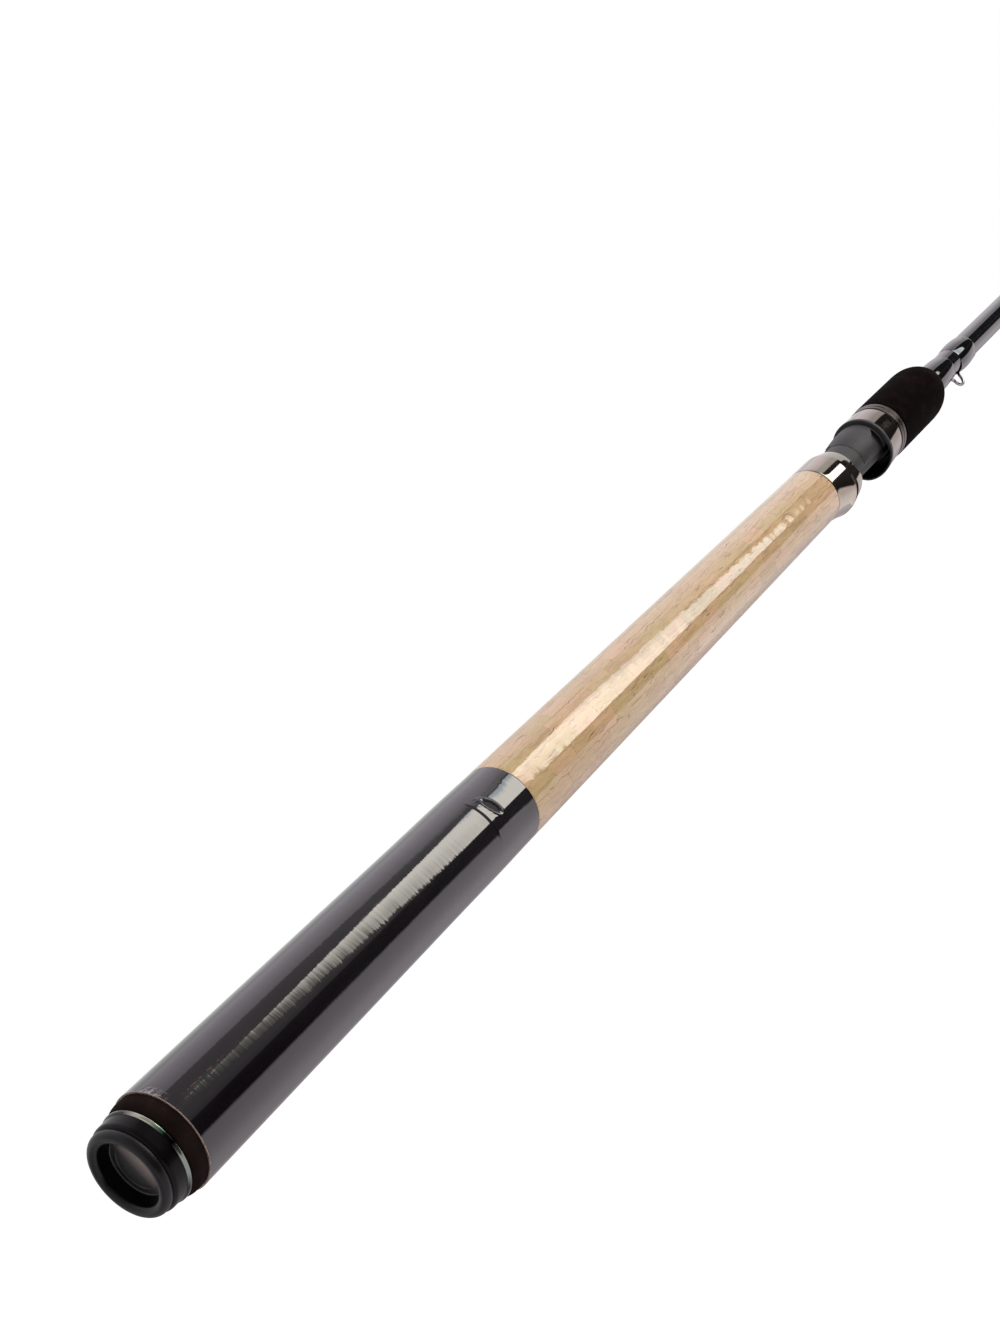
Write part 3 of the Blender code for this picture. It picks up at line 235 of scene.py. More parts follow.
class Finish:
    """A Principled material and the procedural nodes that feed it."""

    def __init__(self, name, colour, roughness, **sockets):
        self.material = bpy.data.materials.new(name + "_fine")
        self.material.use_nodes = True
        self.tree = self.material.node_tree
        self.use(Base_Color=opaque(colour), Roughness=roughness, **sockets)
        self.place = self.node("ShaderNodeTexCoord")["Object"]
        FINISHES[name] = self.material

    def use(self, **sockets):
        inputs = self.tree.nodes["Principled BSDF"].inputs
        for socket, value in sockets.items():
            feed(self.tree, inputs[socket.replace("_", " ")], value)

    def node(self, kind, inputs=(), **settings):
        return add_node(self.tree, kind, inputs, **settings).outputs

    def axes(self, place=None):
        return self.node("ShaderNodeSeparateXYZ", {"Vector": place or self.place})

    def noise(self, scale, detail=3.0, rough=0.5, place=None):
        """Noise with its own scale, in cycles a metre, along each axis, or one scale for all."""
        scale = (scale, scale, scale) if isinstance(scale, float) else scale
        stretched = self.node("ShaderNodeMapping", {"Vector": place or self.place, "Scale": scale})[0]
        inputs = {"Vector": stretched, "Scale": 1.0, "Detail": detail, "Roughness": rough}
        return self.node("ShaderNodeTexNoise", inputs)[0]

    def math(self, operation, *values):
        return self.node("ShaderNodeMath", dict(enumerate(values)), operation=operation)[0]

    def product(self, *values):
        result = values[0]
        for value in values[1:]:
            result = self.math("MULTIPLY", result, value)
        return result

    def ramp(self, factor, *stops):
        return add_ramp(self.tree, factor, stops)

    def fade(self, factor, low, high, start=0.3, end=0.7):
        """From low to high while the factor goes from start to end."""
        return self.ramp(factor, (start, low), (end, high))

    def blend(self, factor, low, high):
        """Mix two colours. The colour sockets have no names of their own, so they go by number."""
        return self.node("ShaderNodeMix", {0: factor, 6: low, 7: high}, data_type="RGBA")[2]

    def between(self, value, low, high):
        """Share from 0 at low to 1 at high, clamped."""
        inputs = {"Value": value, "From Min": low, "From Max": high}
        return self.node("ShaderNodeMapRange", inputs, clamp=True)[0]

    def bump(self, height, distance):
        return self.node("ShaderNodeBump", {"Height": height, "Distance": distance, "Strength": 1.0})[0]

    def around(self, radius):
        """Place on the rod unrolled: distance along it and distance round it."""
        parts = self.axes()
        angle = self.math("ARCTAN2", parts[2], self.math("MULTIPLY", parts[1], -1.0))
        inputs = {"X": parts[0], "Y": self.math("MULTIPLY", angle, radius)}
        return self.node("ShaderNodeCombineXYZ", inputs)[0]


def plain_finish(name, base, roughness, scale, tones, roughs=None, detail=3.0, relief=None, **sockets):
    """A finish whose tone, roughness and relief follow one noise."""
    finish = Finish(name, base, roughness, **sockets)
    noise = finish.noise(scale, detail)
    finish.use(Base_Color=finish.fade(noise, *tones))
    if roughs:
        finish.use(Roughness=finish.fade(noise, *roughs))
    if relief:
        finish.use(Normal=finish.bump(noise, relief))


def make_plain_finishes():
    plain_finish("cap_lip", linear(16, 14, 16), 0.36, 150.0, (linear(11, 10, 12), linear(20, 18, 21)),
                 (0.3, 0.42), Specular_IOR_Level=0.2)
    plain_finish("sleeve_edge", linear(176, 150, 138), 0.45, 900.0,
                 (linear(150, 122, 112), linear(196, 172, 160)))
    # Near-black matte that paints shade: inside the hoods, in the fixed hood's groove, under the shroud, on
    # the moving hood's rim and in the sleeve's pressed oval
    plain_finish("painted_shade", 0.006, 0.5, 700.0, (0.004, 0.01), Specular_IOR_Level=0.2)
    plain_finish("dark_trim", (0.07, 0.06, 0.058), 0.22, (4000.0, 300.0, 300.0),
                 ((0.036, 0.027, 0.023), (0.06, 0.046, 0.041)), (0.26, 0.38), Metallic=1.0)
    plain_finish("steel_wire", 0.28, 0.26, 700.0, (0.23, (0.33, 0.33, 0.325)), (0.2, 0.32), Metallic=1.0)
    plain_finish("frame_metal", (0.09, 0.09, 0.1), 0.2, 500.0,
                 ((0.07, 0.07, 0.078), (0.13, 0.13, 0.14)), (0.16, 0.3), Metallic=1.0)
    plain_finish("ceramic", (0.02, 0.02, 0.022), 0.07, 900.0,
                 ((0.014, 0.014, 0.017), (0.03, 0.03, 0.034)), (0.05, 0.12), IOR=1.75)
    plain_finish("core_foam", 0.04, 0.9, 1800.0, (0.03, 0.06), detail=2.0, relief=0.0001)
    plain_finish("arbor_foam", (0.3, 0.28, 0.22), 0.9, 1500.0,
                 ((0.25, 0.23, 0.18), (0.36, 0.33, 0.27)), detail=2.0, relief=0.0001)


def make_butt_finishes():
    rubber = Finish("cap_rubber", 0.003, 0.25, Specular_IOR_Level=0.1)
    cloud = rubber.noise(120.0, 2.0)
    rubber.use(
        Base_Color=rubber.fade(cloud, (0.002, 0.0015, 0.0015), (0.004, 0.003, 0.003), 0.35),
        Roughness=rubber.fade(cloud, 0.2, 0.3),
        Normal=rubber.bump(rubber.noise(2600.0), 0.000012))

    bead = Finish("cap_bead", (0.1, 0.12, 0.105), 0.2, Metallic=1.0)
    cloud = bead.noise(400.0)
    # The tone follows the angle round the rod: bands of painted reflection, a cream highlight, a green
    # facet and dark bands between
    turn = bead.math("ADD", bead.axes(bead.around(1.0))[1], bead.math("MULTIPLY", cloud, 0.1))
    tone = bead.ramp(
        bead.between(turn, -1.2, 1.2), (0.06, 0.02), (0.2, (0.16, 0.19, 0.17)), (0.44, (0.2, 0.22, 0.19)),
        (0.47, 0.006), (0.56, (0.006, 0.008, 0.006)), (0.6, (0.07, 0.13, 0.09)),
        (0.7, (0.4, 0.42, 0.33)), (0.84, (0.26, 0.25, 0.21)), (0.96, 0.03))
    bead.use(Base_Color=tone, Roughness=bead.fade(cloud, 0.14, 0.26))

    disc = Finish("cap_disc", linear(165, 145, 138), 0.45)
    cloud = disc.noise(500.0, 4.0)
    tone = disc.fade(cloud, linear(168, 146, 138), linear(196, 174, 164))
    # Painted shadow of the lip: the disc goes near-black towards its +Y side
    painted_light_share = disc.between(disc.axes()[1], 0.0022, -0.0052)
    disc.use(Base_Color=disc.blend(painted_light_share, linear(6, 4, 4), tone), Roughness=disc.fade(cloud, 0.38, 0.55))

    for name, low, middle, high in (
            ("eva_foam", (4, 1, 1), (9, 3, 3), (24, 10, 7)),
            ("collar_foam", (24, 16, 14), (32, 22, 19), (42, 30, 26))):
        foam = Finish(name, (0.005, 0.003, 0.003), 0.9, Specular_IOR_Level=0.03)
        cells = foam.node("ShaderNodeTexVoronoi", {"Vector": foam.place, "Scale": 2600.0})[0]
        tone = foam.ramp(
            foam.noise(160.0), (0.3, linear(*low)), (0.5, linear(*middle)), (0.72, linear(*high)))
        foam.use(Base_Color=tone, Normal=foam.bump(foam.fade(cells, 0.0, 1.0, 0.0, 0.35), 0.000012))


def make_sleeve_finish():
    sleeve = Finish("shrink_sleeve", (0.004, 0.002, 0.004), 0.06, IOR=1.6)
    ripple = sleeve.noise((640.0, 80.0, 80.0), 2.0, 0.6)
    swell = sleeve.noise((130.0, 50.0, 50.0), 1.0)
    height = sleeve.math("ADD", ripple, sleeve.math("MULTIPLY", swell, 3.0))
    smear = sleeve.noise((50.0, 260.0, 260.0), 5.0, 0.65)
    rough = sleeve.ramp(smear, (0.42, 0.05), (0.6, 0.075), (0.72, 0.15))
    deep = sleeve.fade(smear, (0.0024, 0.0008, 0.0028), (0.006, 0.0042, 0.006), end=0.75)
    hazy = sleeve.fade(smear, (0.0105, 0.008, 0.0105), (0.018, 0.016, 0.018), end=0.75)
    parts = sleeve.axes(sleeve.around(1.0))
    along = parts[0]
    haze_start = -0.4
    haze_full = -0.29
    tone = sleeve.blend(sleeve.between(along, haze_start, haze_full), deep, hazy)
    dots = sleeve.fade(sleeve.noise((900.0, 300.0, 300.0), 2.0), 0.0, 0.8, 0.48, 0.58)
    flecks = sleeve.fade(sleeve.noise((1400.0, 900.0, 900.0), 2.0), 0.0, 0.8, 0.46, 0.6)

    def near(angle, full, gone):
        offset = sleeve.math("ABSOLUTE", sleeve.math("SUBTRACT", parts[1], angle))
        return sleeve.between(offset, gone, full)

    # Two broken streaks of painted highlight near the butt, orange and silver, each at its angle, from
    # start to end
    for angle, start, end, colour in (
            (0.345, -0.417, -0.398, linear(104, 56, 28)), (0.262, -0.417, -0.396, linear(104, 104, 108))):
        mask = sleeve.product(
            near(angle, 0.006, 0.015), sleeve.between(along, start, start + 0.003),
            sleeve.between(along, end, end - 0.006), dots)
        tone = sleeve.blend(mask, tone, colour)
    # Painted whitish glints on the crinkled film at the sleeve's rear edge
    crinkle_glints = sleeve.product(near(0.76, 0.16, 0.3), sleeve.between(along, -0.4172, -0.4184), flecks)
    tone = sleeve.blend(crinkle_glints, tone, linear(150, 145, 152))
    sleeve.use(Base_Color=tone, Roughness=rough, Normal=sleeve.bump(height, 0.000022))


def make_cork_finish():
    cork = Finish("cork", linear(200, 168, 130), 0.6, Coat_Weight=0.85, Coat_Roughness=0.045,
                  Coat_IOR=1.6, Specular_IOR_Level=0.15)
    cork.material.name = "cork_under_film"
    mean_radius = 0.0127
    flat = cork.around(mean_radius)
    wobble = cork.noise((230.0, 230.0, 1.0), 3.0, 0.6, flat)
    inputs = {"X": cork.math("MULTIPLY", wobble, 0.005), "Y": cork.math("MULTIPLY", wobble, 0.0028)}
    offset = cork.node("ShaderNodeCombineXYZ", inputs)[0]
    shifted = cork.node("ShaderNodeVectorMath", {0: flat, 1: offset}, operation="ADD")[0]

    def laid(second, mortar, gap):
        """Grains of cork laid like bricks: grey levels of every second grain and of the mortar."""
        inputs = {"Vector": shifted, "Color1": opaque(0.0), "Color2": opaque(second),
                  "Mortar": opaque(mortar), "Mortar Size": gap, "Mortar Smooth": 0.6, "Scale": 1.0,
                  "Brick Width": 0.0125, "Row Height": 0.0052}
        return cork.node("ShaderNodeTexBrick", inputs)[0]

    tone = cork.ramp(
        laid(1.0, 0.5, 0.0), (0.0, linear(206, 168, 118)), (0.3, linear(216, 180, 132)),
        (0.5, linear(205, 176, 120)), (0.75, linear(228, 182, 142)), (1.0, linear(196, 160, 112)))
    fine = cork.noise((260.0, 1000.0, 1.0), 5.0, 0.65, flat)
    layer = cork.noise((60.0, 1300.0, 1.0), 3.0, 0.55, shifted)
    broken = cork.noise((140.0, 500.0, 1.0), 2.0, 0.5, flat)
    streak = cork.noise((120.0, 1500.0, 1.0), 1.0, 0.4, shifted)
    patch = cork.noise((60.0, 150.0, 1.0), 2.0, 0.5, flat)
    seams = cork.product(laid(0.0, 1.0, 0.00016), cork.fade(broken, 0.0, 0.75, 0.42, 0.58))
    flecks = cork.product(
        cork.fade(streak, 0.0, 0.85, 0.66, 0.72), cork.fade(patch, 0.0, 1.0, 0.42, 0.56))
    for mask, colour in (
            (cork.fade(fine, 0.0, 0.55, 0.35, 0.75), linear(234, 202, 160)),
            (cork.fade(layer, 0.0, 0.42, 0.5, 0.6), linear(178, 138, 94)),
            (seams, linear(150, 106, 66)), (flecks, linear(112, 74, 42))):
        tone = cork.blend(mask, tone, colour)
    film = cork.noise((420.0, 130.0, 130.0), 3.0, 0.6)
    swell = cork.noise((190.0, 70.0, 70.0), 1.0)
    height = cork.math("ADD", film, cork.math("MULTIPLY", swell, 2.6))
    cork.use(Base_Color=tone, Normal=cork.bump(fine, 0.00008), Coat_Normal=cork.bump(height, 0.000046))


def make_rod_finishes():
    blank = Finish("carbon_blank", (0.004, 0.004, 0.005), 0.06, IOR=1.55)
    wrap = blank.noise((900.0, 60.0, 60.0), 2.0)
    tone = blank.fade(wrap, (0.003, 0.003, 0.004), (0.009, 0.009, 0.011), 0.4)
    blank.use(Base_Color=tone, Normal=blank.bump(wrap, 0.000004))

    # smoked_chrome is the hoods' chrome; shaded_chrome is a darker copy of it for the moving hood, a
    # painted shade
    for name, bright in (("smoked_chrome", 0.82), ("shaded_chrome", 0.6)):
        chrome = Finish(name, (0.32, 0.285, 0.25), 0.07, Metallic=1.0)
        haze = chrome.noise(300.0, 4.0, 0.6)
        low = (0.315 * bright, 0.276 * bright, 0.228 * bright)
        high = (0.35 * bright, 0.306 * bright, 0.255 * bright)
        rough = chrome.fade(haze, 0.045, 0.075, 0.4, 0.75)
        chrome.use(Base_Color=chrome.fade(haze, low, high), Roughness=rough)

    seat = Finish("seat_plastic", (0.045, 0.045, 0.048), 0.5, Specular_IOR_Level=0.22)
    tone = seat.fade(seat.noise(150.0), (0.03, 0.028, 0.03), (0.042, 0.04, 0.042))
    seat.use(Base_Color=tone, Normal=seat.bump(seat.noise(3000.0, 2.0), 0.00001))

    thread = Finish("whip_lacquer", (0.003, 0.002, 0.003), 0.5, Coat_Weight=1.0,
                    Coat_Roughness=0.04, Coat_IOR=1.6, Specular_IOR_Level=0.0)
    inputs = {"Vector": thread.place, "Scale": 1100.0, "Distortion": 0.6, "Detail": 1.0}
    turns = thread.node("ShaderNodeTexWave", inputs, bands_direction="X")[0]
    tone = thread.fade(turns, (0.001, 0.001, 0.0015), (0.003, 0.0025, 0.003), 0.0, 1.0)
    thread.use(Base_Color=tone, Normal=thread.bump(turns, 0.000006),
               Coat_Normal=thread.bump(thread.noise(160.0, 1.0), 0.000012))

    glass = Finish("white_glass", (0.5, 0.5, 0.4), 0.22, Coat_Weight=1.0, Coat_Roughness=0.06)
    fibre = glass.noise((120.0, 2500.0, 2500.0))
    body = glass.fade(fibre, (0.44, 0.43, 0.33), (0.58, 0.57, 0.46))
    paint = glass.fade(fibre, (0.85, 0.13, 0.02), (0.95, 0.18, 0.03))
    paint_length = 0.084
    paint_edge = 0.004
    start = world_x(QUIVER_END) - paint_length
    painted = glass.between(glass.axes()[0], start, start + paint_edge)
    glass.use(Base_Color=glass.blend(painted, body, paint))


make_plain_finishes()
make_butt_finishes()
make_sleeve_finish()
make_cork_finish()
make_rod_finishes()


def rounded(corners, size=2):
    """Round the corners of a closed outline.

    A corner is its values, as many as size, and then the distance of its rounding if it has one.
    """
    most = 0.45
    tiny = 1e-9
    points = []
    for index, corner in enumerate(corners):
        here = Vector(corner[:size])
        reach = corner[size] if len(corner) > size else 0.0
        if reach == 0.0:
            points.append(here)
            continue
        before = Vector(corners[index - 1][:size]) - here
        after = Vector(corners[(index + 1) % len(corners)][:size]) - here
        start = here + before * min(most, reach / max(before.length, tiny))
        end = here + after * min(most, reach / max(after.length, tiny))
        for share in spaced(0.0, 1.0, 5):
            points.append(start.lerp(here, share).lerp(here.lerp(end, share), share))
    return points


def skinned(rings, closed=True):
    """Skin equal rings of points. A closed skin joins its last ring to its first, an open one is capped."""
    count = len(rings[0])
    points = [point for ring in rings for point in ring]
    faces = []
    for low in range(len(rings) if closed else len(rings) - 1):
        high = (low + 1) % len(rings)
        for side in range(count):
            after = (side + 1) % count
            faces.append(
                (low * count + side, low * count + after, high * count + after, high * count + side))
    if not closed:
        faces.append(tuple(range(count)))
        faces.append(tuple(range((len(rings) - 1) * count, len(rings) * count)))
    mesh = bpy.data.meshes.new("skin")
    mesh.from_pydata([tuple(point) for point in points], [], faces)
    return tidied(mesh)


def tidied(mesh):
    builder = bmesh.new()
    builder.from_mesh(mesh)
    bmesh.ops.remove_doubles(builder, verts=builder.verts[:], dist=1e-7)
    bmesh.ops.recalc_face_normals(builder, faces=builder.faces[:])
    builder.to_mesh(mesh)
    builder.free()
    return mesh


def angles(sides):
    return [2.0 * math.pi * side / sides for side in range(sides)]


def rim_point(station, radius, angle, centre_z=0.0):
    """A point round the axis, at an angle from the reel side."""
    return Vector((world_x(station), radius * math.sin(angle), centre_z - radius * math.cos(angle)))


def circle(station, radius, sides, centre_z=0.0):
    return [rim_point(station, radius, angle, centre_z) for angle in angles(sides)]


def turned(corners, sides, closed=True, centre_z=0.0):
    rings = []
    for station, radius in rounded(corners):
        rings.append(circle(station, max(radius, 1e-5), sides, centre_z))
    return skinned(rings, closed)


def placed(name, data):
    """A new object in the scene."""
    item = bpy.data.objects.new(name, data)
    bpy.context.scene.collection.objects.link(item)
    return item


def combine(mesh, tool_mesh, operation):
    """Join or cut a mesh with another."""
    item = placed("work", mesh)
    tool = placed("tool", tool_mesh)
    step = item.modifiers.new("combine", "BOOLEAN")
    step.operation = operation
    step.solver = "EXACT"
    step.object = tool
    bpy.context.view_layer.update()
    graph = bpy.context.evaluated_depsgraph_get()
    result = bpy.data.meshes.new_from_object(item.evaluated_get(graph))
    bpy.data.objects.remove(item, do_unlink=True)
    bpy.data.objects.remove(tool, do_unlink=True)
    return result


def block(low, high):
    builder = bmesh.new()
    bmesh.ops.create_cube(builder, size=1.0)
    low = Vector(low)
    high = Vector(high)
    bmesh.ops.scale(builder, vec=high - low, verts=builder.verts[:])
    bmesh.ops.translate(builder, vec=(low + high) / 2.0, verts=builder.verts[:])
    mesh = bpy.data.meshes.new("block")
    builder.to_mesh(mesh)
    builder.free()
    return mesh


def stand_for(mesh, *nodes, finish=None, areas=(), sharp=38.0):
    """Put a finer piece in place of the solids that it stands for.

    Each of areas is a finish and a test for the faces that take it. The last one that fits counts.
    """
    item = placed("fine_" + nodes[0], mesh)
    mesh.name = item.name
    slot = SLOT_OF[nodes[0]]
    mesh.materials.clear()
    mesh.materials.append(FINISHES[finish or slot])
    for index, (name, takes) in enumerate(areas, 1):
        mesh.materials.append(FINISHES[name])
        for face in mesh.polygons:
            if takes(face):
                face.material_index = index
    mesh.shade_smooth()
    mesh.set_sharp_from_angle(angle=math.radians(sharp))
    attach(item, BODY_OF[nodes[0]])
    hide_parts(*nodes)


def curve_through(points, per_span):
    """A smooth path through points, as a Catmull-Rom spline."""
    points = [Vector(point) for point in points]
    ends = [2.0 * points[0] - points[1]] + points + [2.0 * points[-1] - points[-2]]
    path = []
    for index in range(1, len(ends) - 2):
        a, b, c, d = ends[index - 1:index + 3]
        for step in range(per_span):
            t = step / per_span
            path.append(0.5 * (2.0 * b + (c - a) * t + (2.0 * a - 5.0 * b + 4.0 * c - d) * t * t
                               + (3.0 * b - a - 3.0 * c + d) * t ** 3))
    path.append(points[-1])
    return path


def wire_mesh(path, radius, sides=14, flats=None):
    """A wire along a path. flats gives, for a share of the path, its width and height there."""
    rings = []
    side_axis = None
    for index, point in enumerate(path):
        before = path[max(0, index - 1)]
        after = path[min(len(path) - 1, index + 1)]
        along = (after - before).normalized()
        if side_axis is None:
            reference = Vector((0.0, 1.0, 0.0)) if abs(along.y) < 0.9 else Vector((0.0, 0.0, 1.0))
            side_axis = along.cross(reference).normalized()
        side_axis = (side_axis - along * side_axis.dot(along)).normalized()
        up_axis = along.cross(side_axis)
        tall, wide = flats(index / (len(path) - 1)) if flats else (1.0, 1.0)
        ring = []
        for angle in angles(sides):
            offset = tall * math.cos(angle) * side_axis + wide * math.sin(angle) * up_axis
            ring.append(point + radius * offset)
        rings.append(ring)
    return skinned(rings, closed=False)


def with_wire(mesh, path, wire, sides=14):
    return combine(mesh, wire_mesh(path, wire, sides), "UNION")


def from_station(station, points):
    """Points whose x is counted from a station."""
    return [Vector(point) + Vector((world_x(station), 0.0, 0.0)) for point in points]


def window(angle, flat, end):
    share = (abs(angle) - flat) / (end - flat)
    return 1.0 - smooth(share)


def bulged(station, radius, bulge, sides, flat, end, slant=0.0):
    """A ring round the axis, pushed out on the reel side and slanted there."""
    points = []
    for angle in angles(sides):
        folded = min(angle, 2.0 * math.pi - angle)
        reach = radius + bulge * window(folded, flat, end)
        shift = slant * window(folded, 0.5 * flat, 0.7 * end)
        points.append(rim_point(station + shift, reach, angle))
    return points


def hood_mesh(corners, sides=128):
    """Skin a hood from corners of station, radius, crown radius and slant, each with its rounding."""
    rings = []
    for station, radius, crown, slant in rounded(corners, 4):
        rings.append(bulged(station, radius, crown - radius, sides, SWELL_FLAT, SWELL_END, slant))
    return skinned(rings)


def off_axis(face):
    return math.hypot(face.center.y, face.center.z)


def outwardness(face):
    """How a face looks: 1 straight away from the rod's axis, -1 straight towards it."""
    return face.normal.dot(Vector((0.0, face.center.y, face.center.z)).normalized())


def faces_axis(face):
    return outwardness(face) < -0.5


def reel_angle(face):
    return math.atan2(abs(face.center.y), -face.center.z)


def slant_share(face):
    """Share of a hood's slant where a face lies."""
    return window(reel_angle(face), 0.5 * SWELL_FLAT, 0.7 * SWELL_END)


def make_butt_cap():
    floor = 0.0046
    lip = 0.0016
    lip_radius = 0.0103
    corners = [(floor, 0.0), (floor, 0.0064), (floor - 0.0002, 0.00655)]
    corners += [(floor, 0.0067), (floor, 0.0083, 0.0005)]
    for turn in spaced(268.0, 60.0, 16):
        angle = math.radians(turn)
        corners.append((lip + lip * math.cos(angle), lip_radius + lip * math.sin(angle)))
    corners += [(0.0024, 0.0114, 0.00018), (0.0027, 0.01195, 0.0003), (0.0033, 0.01242, 0.0005)]
    flange = CAP_LENGTH - 0.0012
    crest = CAP_RADIUS + 0.00045
    corners += [(flange - 0.0003, CAP_RADIUS, 0.00015), (flange + 0.0002, crest, 0.0002)]
    corners += [(CAP_LENGTH - 0.0003, crest, 0.0003), (CAP_LENGTH, CAP_RADIUS, 0.0001)]
    corners += [(CAP_LENGTH, 0.0)]

    def bead(face):
        return face.center.x > world_x(flange - 0.0001)

    def disc(face):
        edge = 0.0082
        return face.center.x > world_x(floor - 0.00025) and off_axis(face) < edge and face.normal.x < 0.0

    def rim(face):
        recess = off_axis(face) < lip_radius and face.center.x > world_x(0.0008)
        return face.center.x < world_x(0.0023) and not recess

    stand_for(turned(corners, 128, closed=False), "butt_cap",
              areas=(("cap_bead", bead), ("cap_disc", disc), ("cap_lip", rim)))


def make_butt_collar():
    start = CAP_LENGTH + GLUE_GAP
    end = SLEEVE_START - GLUE_GAP
    front = REAR_RADIUS - SLEEVE_WALL
    bore = butt_radius(start) + GLUE_GAP
    corners = [(start, bore), (start, CAP_RADIUS, 0.0004)]
    corners += [(start + 0.0012, front - 0.0003, 0.001), (start + 0.0024, front, 0.001)]
    corners += [(end, front, 0.0001), (end, bore)]
    stand_for(turned(corners, 128), "butt_collar", finish="collar_foam")


def oval_place(station, angle):
    """How far out a point of the sleeve is on the pressed oval: 1 on its rim."""
    half_length = 0.00145
    half_width = 0.0034
    band_radius = 0.0131
    along = station - (CORK_START - BAND_SETBACK + 0.5 * BAND_LENGTH - 0.0002)
    around = (angle - math.radians(10.0)) * band_radius
    turn = math.radians(14.0)
    across = around * math.cos(turn) - along * math.sin(turn)
    length = along * math.cos(turn) + around * math.sin(turn)
    return math.hypot(length / half_length, across / half_width)


def in_oval(face):
    """Whether a face of the sleeve lies in the pressed oval."""
    angle = math.atan2(face.center.z, -face.center.y)
    return outwardness(face) > 0.0 and oval_place(face.center.x + SEAT_MIDDLE, angle) < 0.84


def sleeve_rise(station, angle):
    """How far the black sleeve stands off its even taper: band, oval rim and crumpled edge."""
    band_start = CORK_START - BAND_SETBACK
    band_end = band_start + BAND_LENGTH
    near = 1.0 - smooth((abs(angle - math.radians(2.0)) - 0.26) / 0.42)
    sharp = smooth((station - band_start + 0.0003) / 0.0006)
    slow = smooth((station - band_start + 0.026) / 0.03)
    rise = mix(0.0001 * slow, BAND_RISE * sharp, near)
    rise *= 1.0 - 0.35 * smooth((station - band_start - 0.001) / BAND_LENGTH)
    rise *= 1.0 - smooth((station - band_end + 0.004) / 0.012)
    oval = oval_place(station, angle)
    ridge = math.exp(-((oval - 1.18) / 0.2) ** 2)
    dish = 1.0 - smooth((oval - 0.6) / 0.38)
    rise += 0.00011 * ridge - 0.00034 * dish
    folds = math.exp(-((oval - 1.6) / 0.5) ** 2) * math.exp(-((station - band_start - 0.003) / 0.002) ** 2)
    rise += 0.000022 * folds * math.sin(angle * 60.0 + 1800.0 * (station - band_start))
    edge = math.exp(-((station - SLEEVE_START - 0.0012) / 0.0012) ** 2)
    facing = math.exp(-((angle - math.radians(50.0)) / 0.22) ** 2)
    crumple = math.sin(angle * 44.0 + 1500.0 * (station - SLEEVE_START)) + 0.6 * math.sin(angle * 91.0)
    rise -= 0.00006 * edge * facing * (1.0 + crumple)
    return rise


def make_black_sleeve():
    sides = 360
    end = CORK_START - GLUE_GAP
    band = CORK_START - BAND_SETBACK
    stations = [SLEEVE_START, SLEEVE_START + 0.00012]
    stations += [SLEEVE_START + 0.00035 * step for step in range(1, 14)]
    stations += [SLEEVE_START + 0.007 + 0.004 * step for step in range(40)]
    stations = [station for station in stations if station < band - 0.006]
    stations += spaced(band - 0.005, band + BAND_LENGTH + 0.006, 150)
    stations += [end - 0.004, end - 0.001, end]

    def ring(station, outer):
        points = []
        for angle in angles(sides):
            folded = angle if angle <= math.pi else angle - 2.0 * math.pi
            radius = handle_radius(station) + (sleeve_rise(station, folded) if outer else -SLEEVE_WALL)
            points.append(Vector((world_x(station), -radius * math.cos(angle), radius * math.sin(angle))))
        return points

    rings = [ring(station, True) for station in stations]
    rings += [ring(station, False) for station in (end, SLEEVE_START)]
    cut = world_x(SLEEVE_START) + 0.0001
    # The pressed oval's faces take the painted shade
    stand_for(skinned(rings), "black_sleeve",
              areas=(("sleeve_edge", lambda face: face.center.x < cut), ("painted_shade", in_oval)))


def make_cork():
    end = CORK_END - GLUE_GAP
    bore = butt_radius(CORK_START) + GLUE_GAP
    corners = [(CORK_START, bore), (CORK_START, handle_radius(CORK_START), 0.0002)]
    corners += [(end, handle_radius(end), 0.0003), (end, bore)]
    stand_for(turned(corners, 160), "cork_grip", "clear_sleeve", finish="cork")


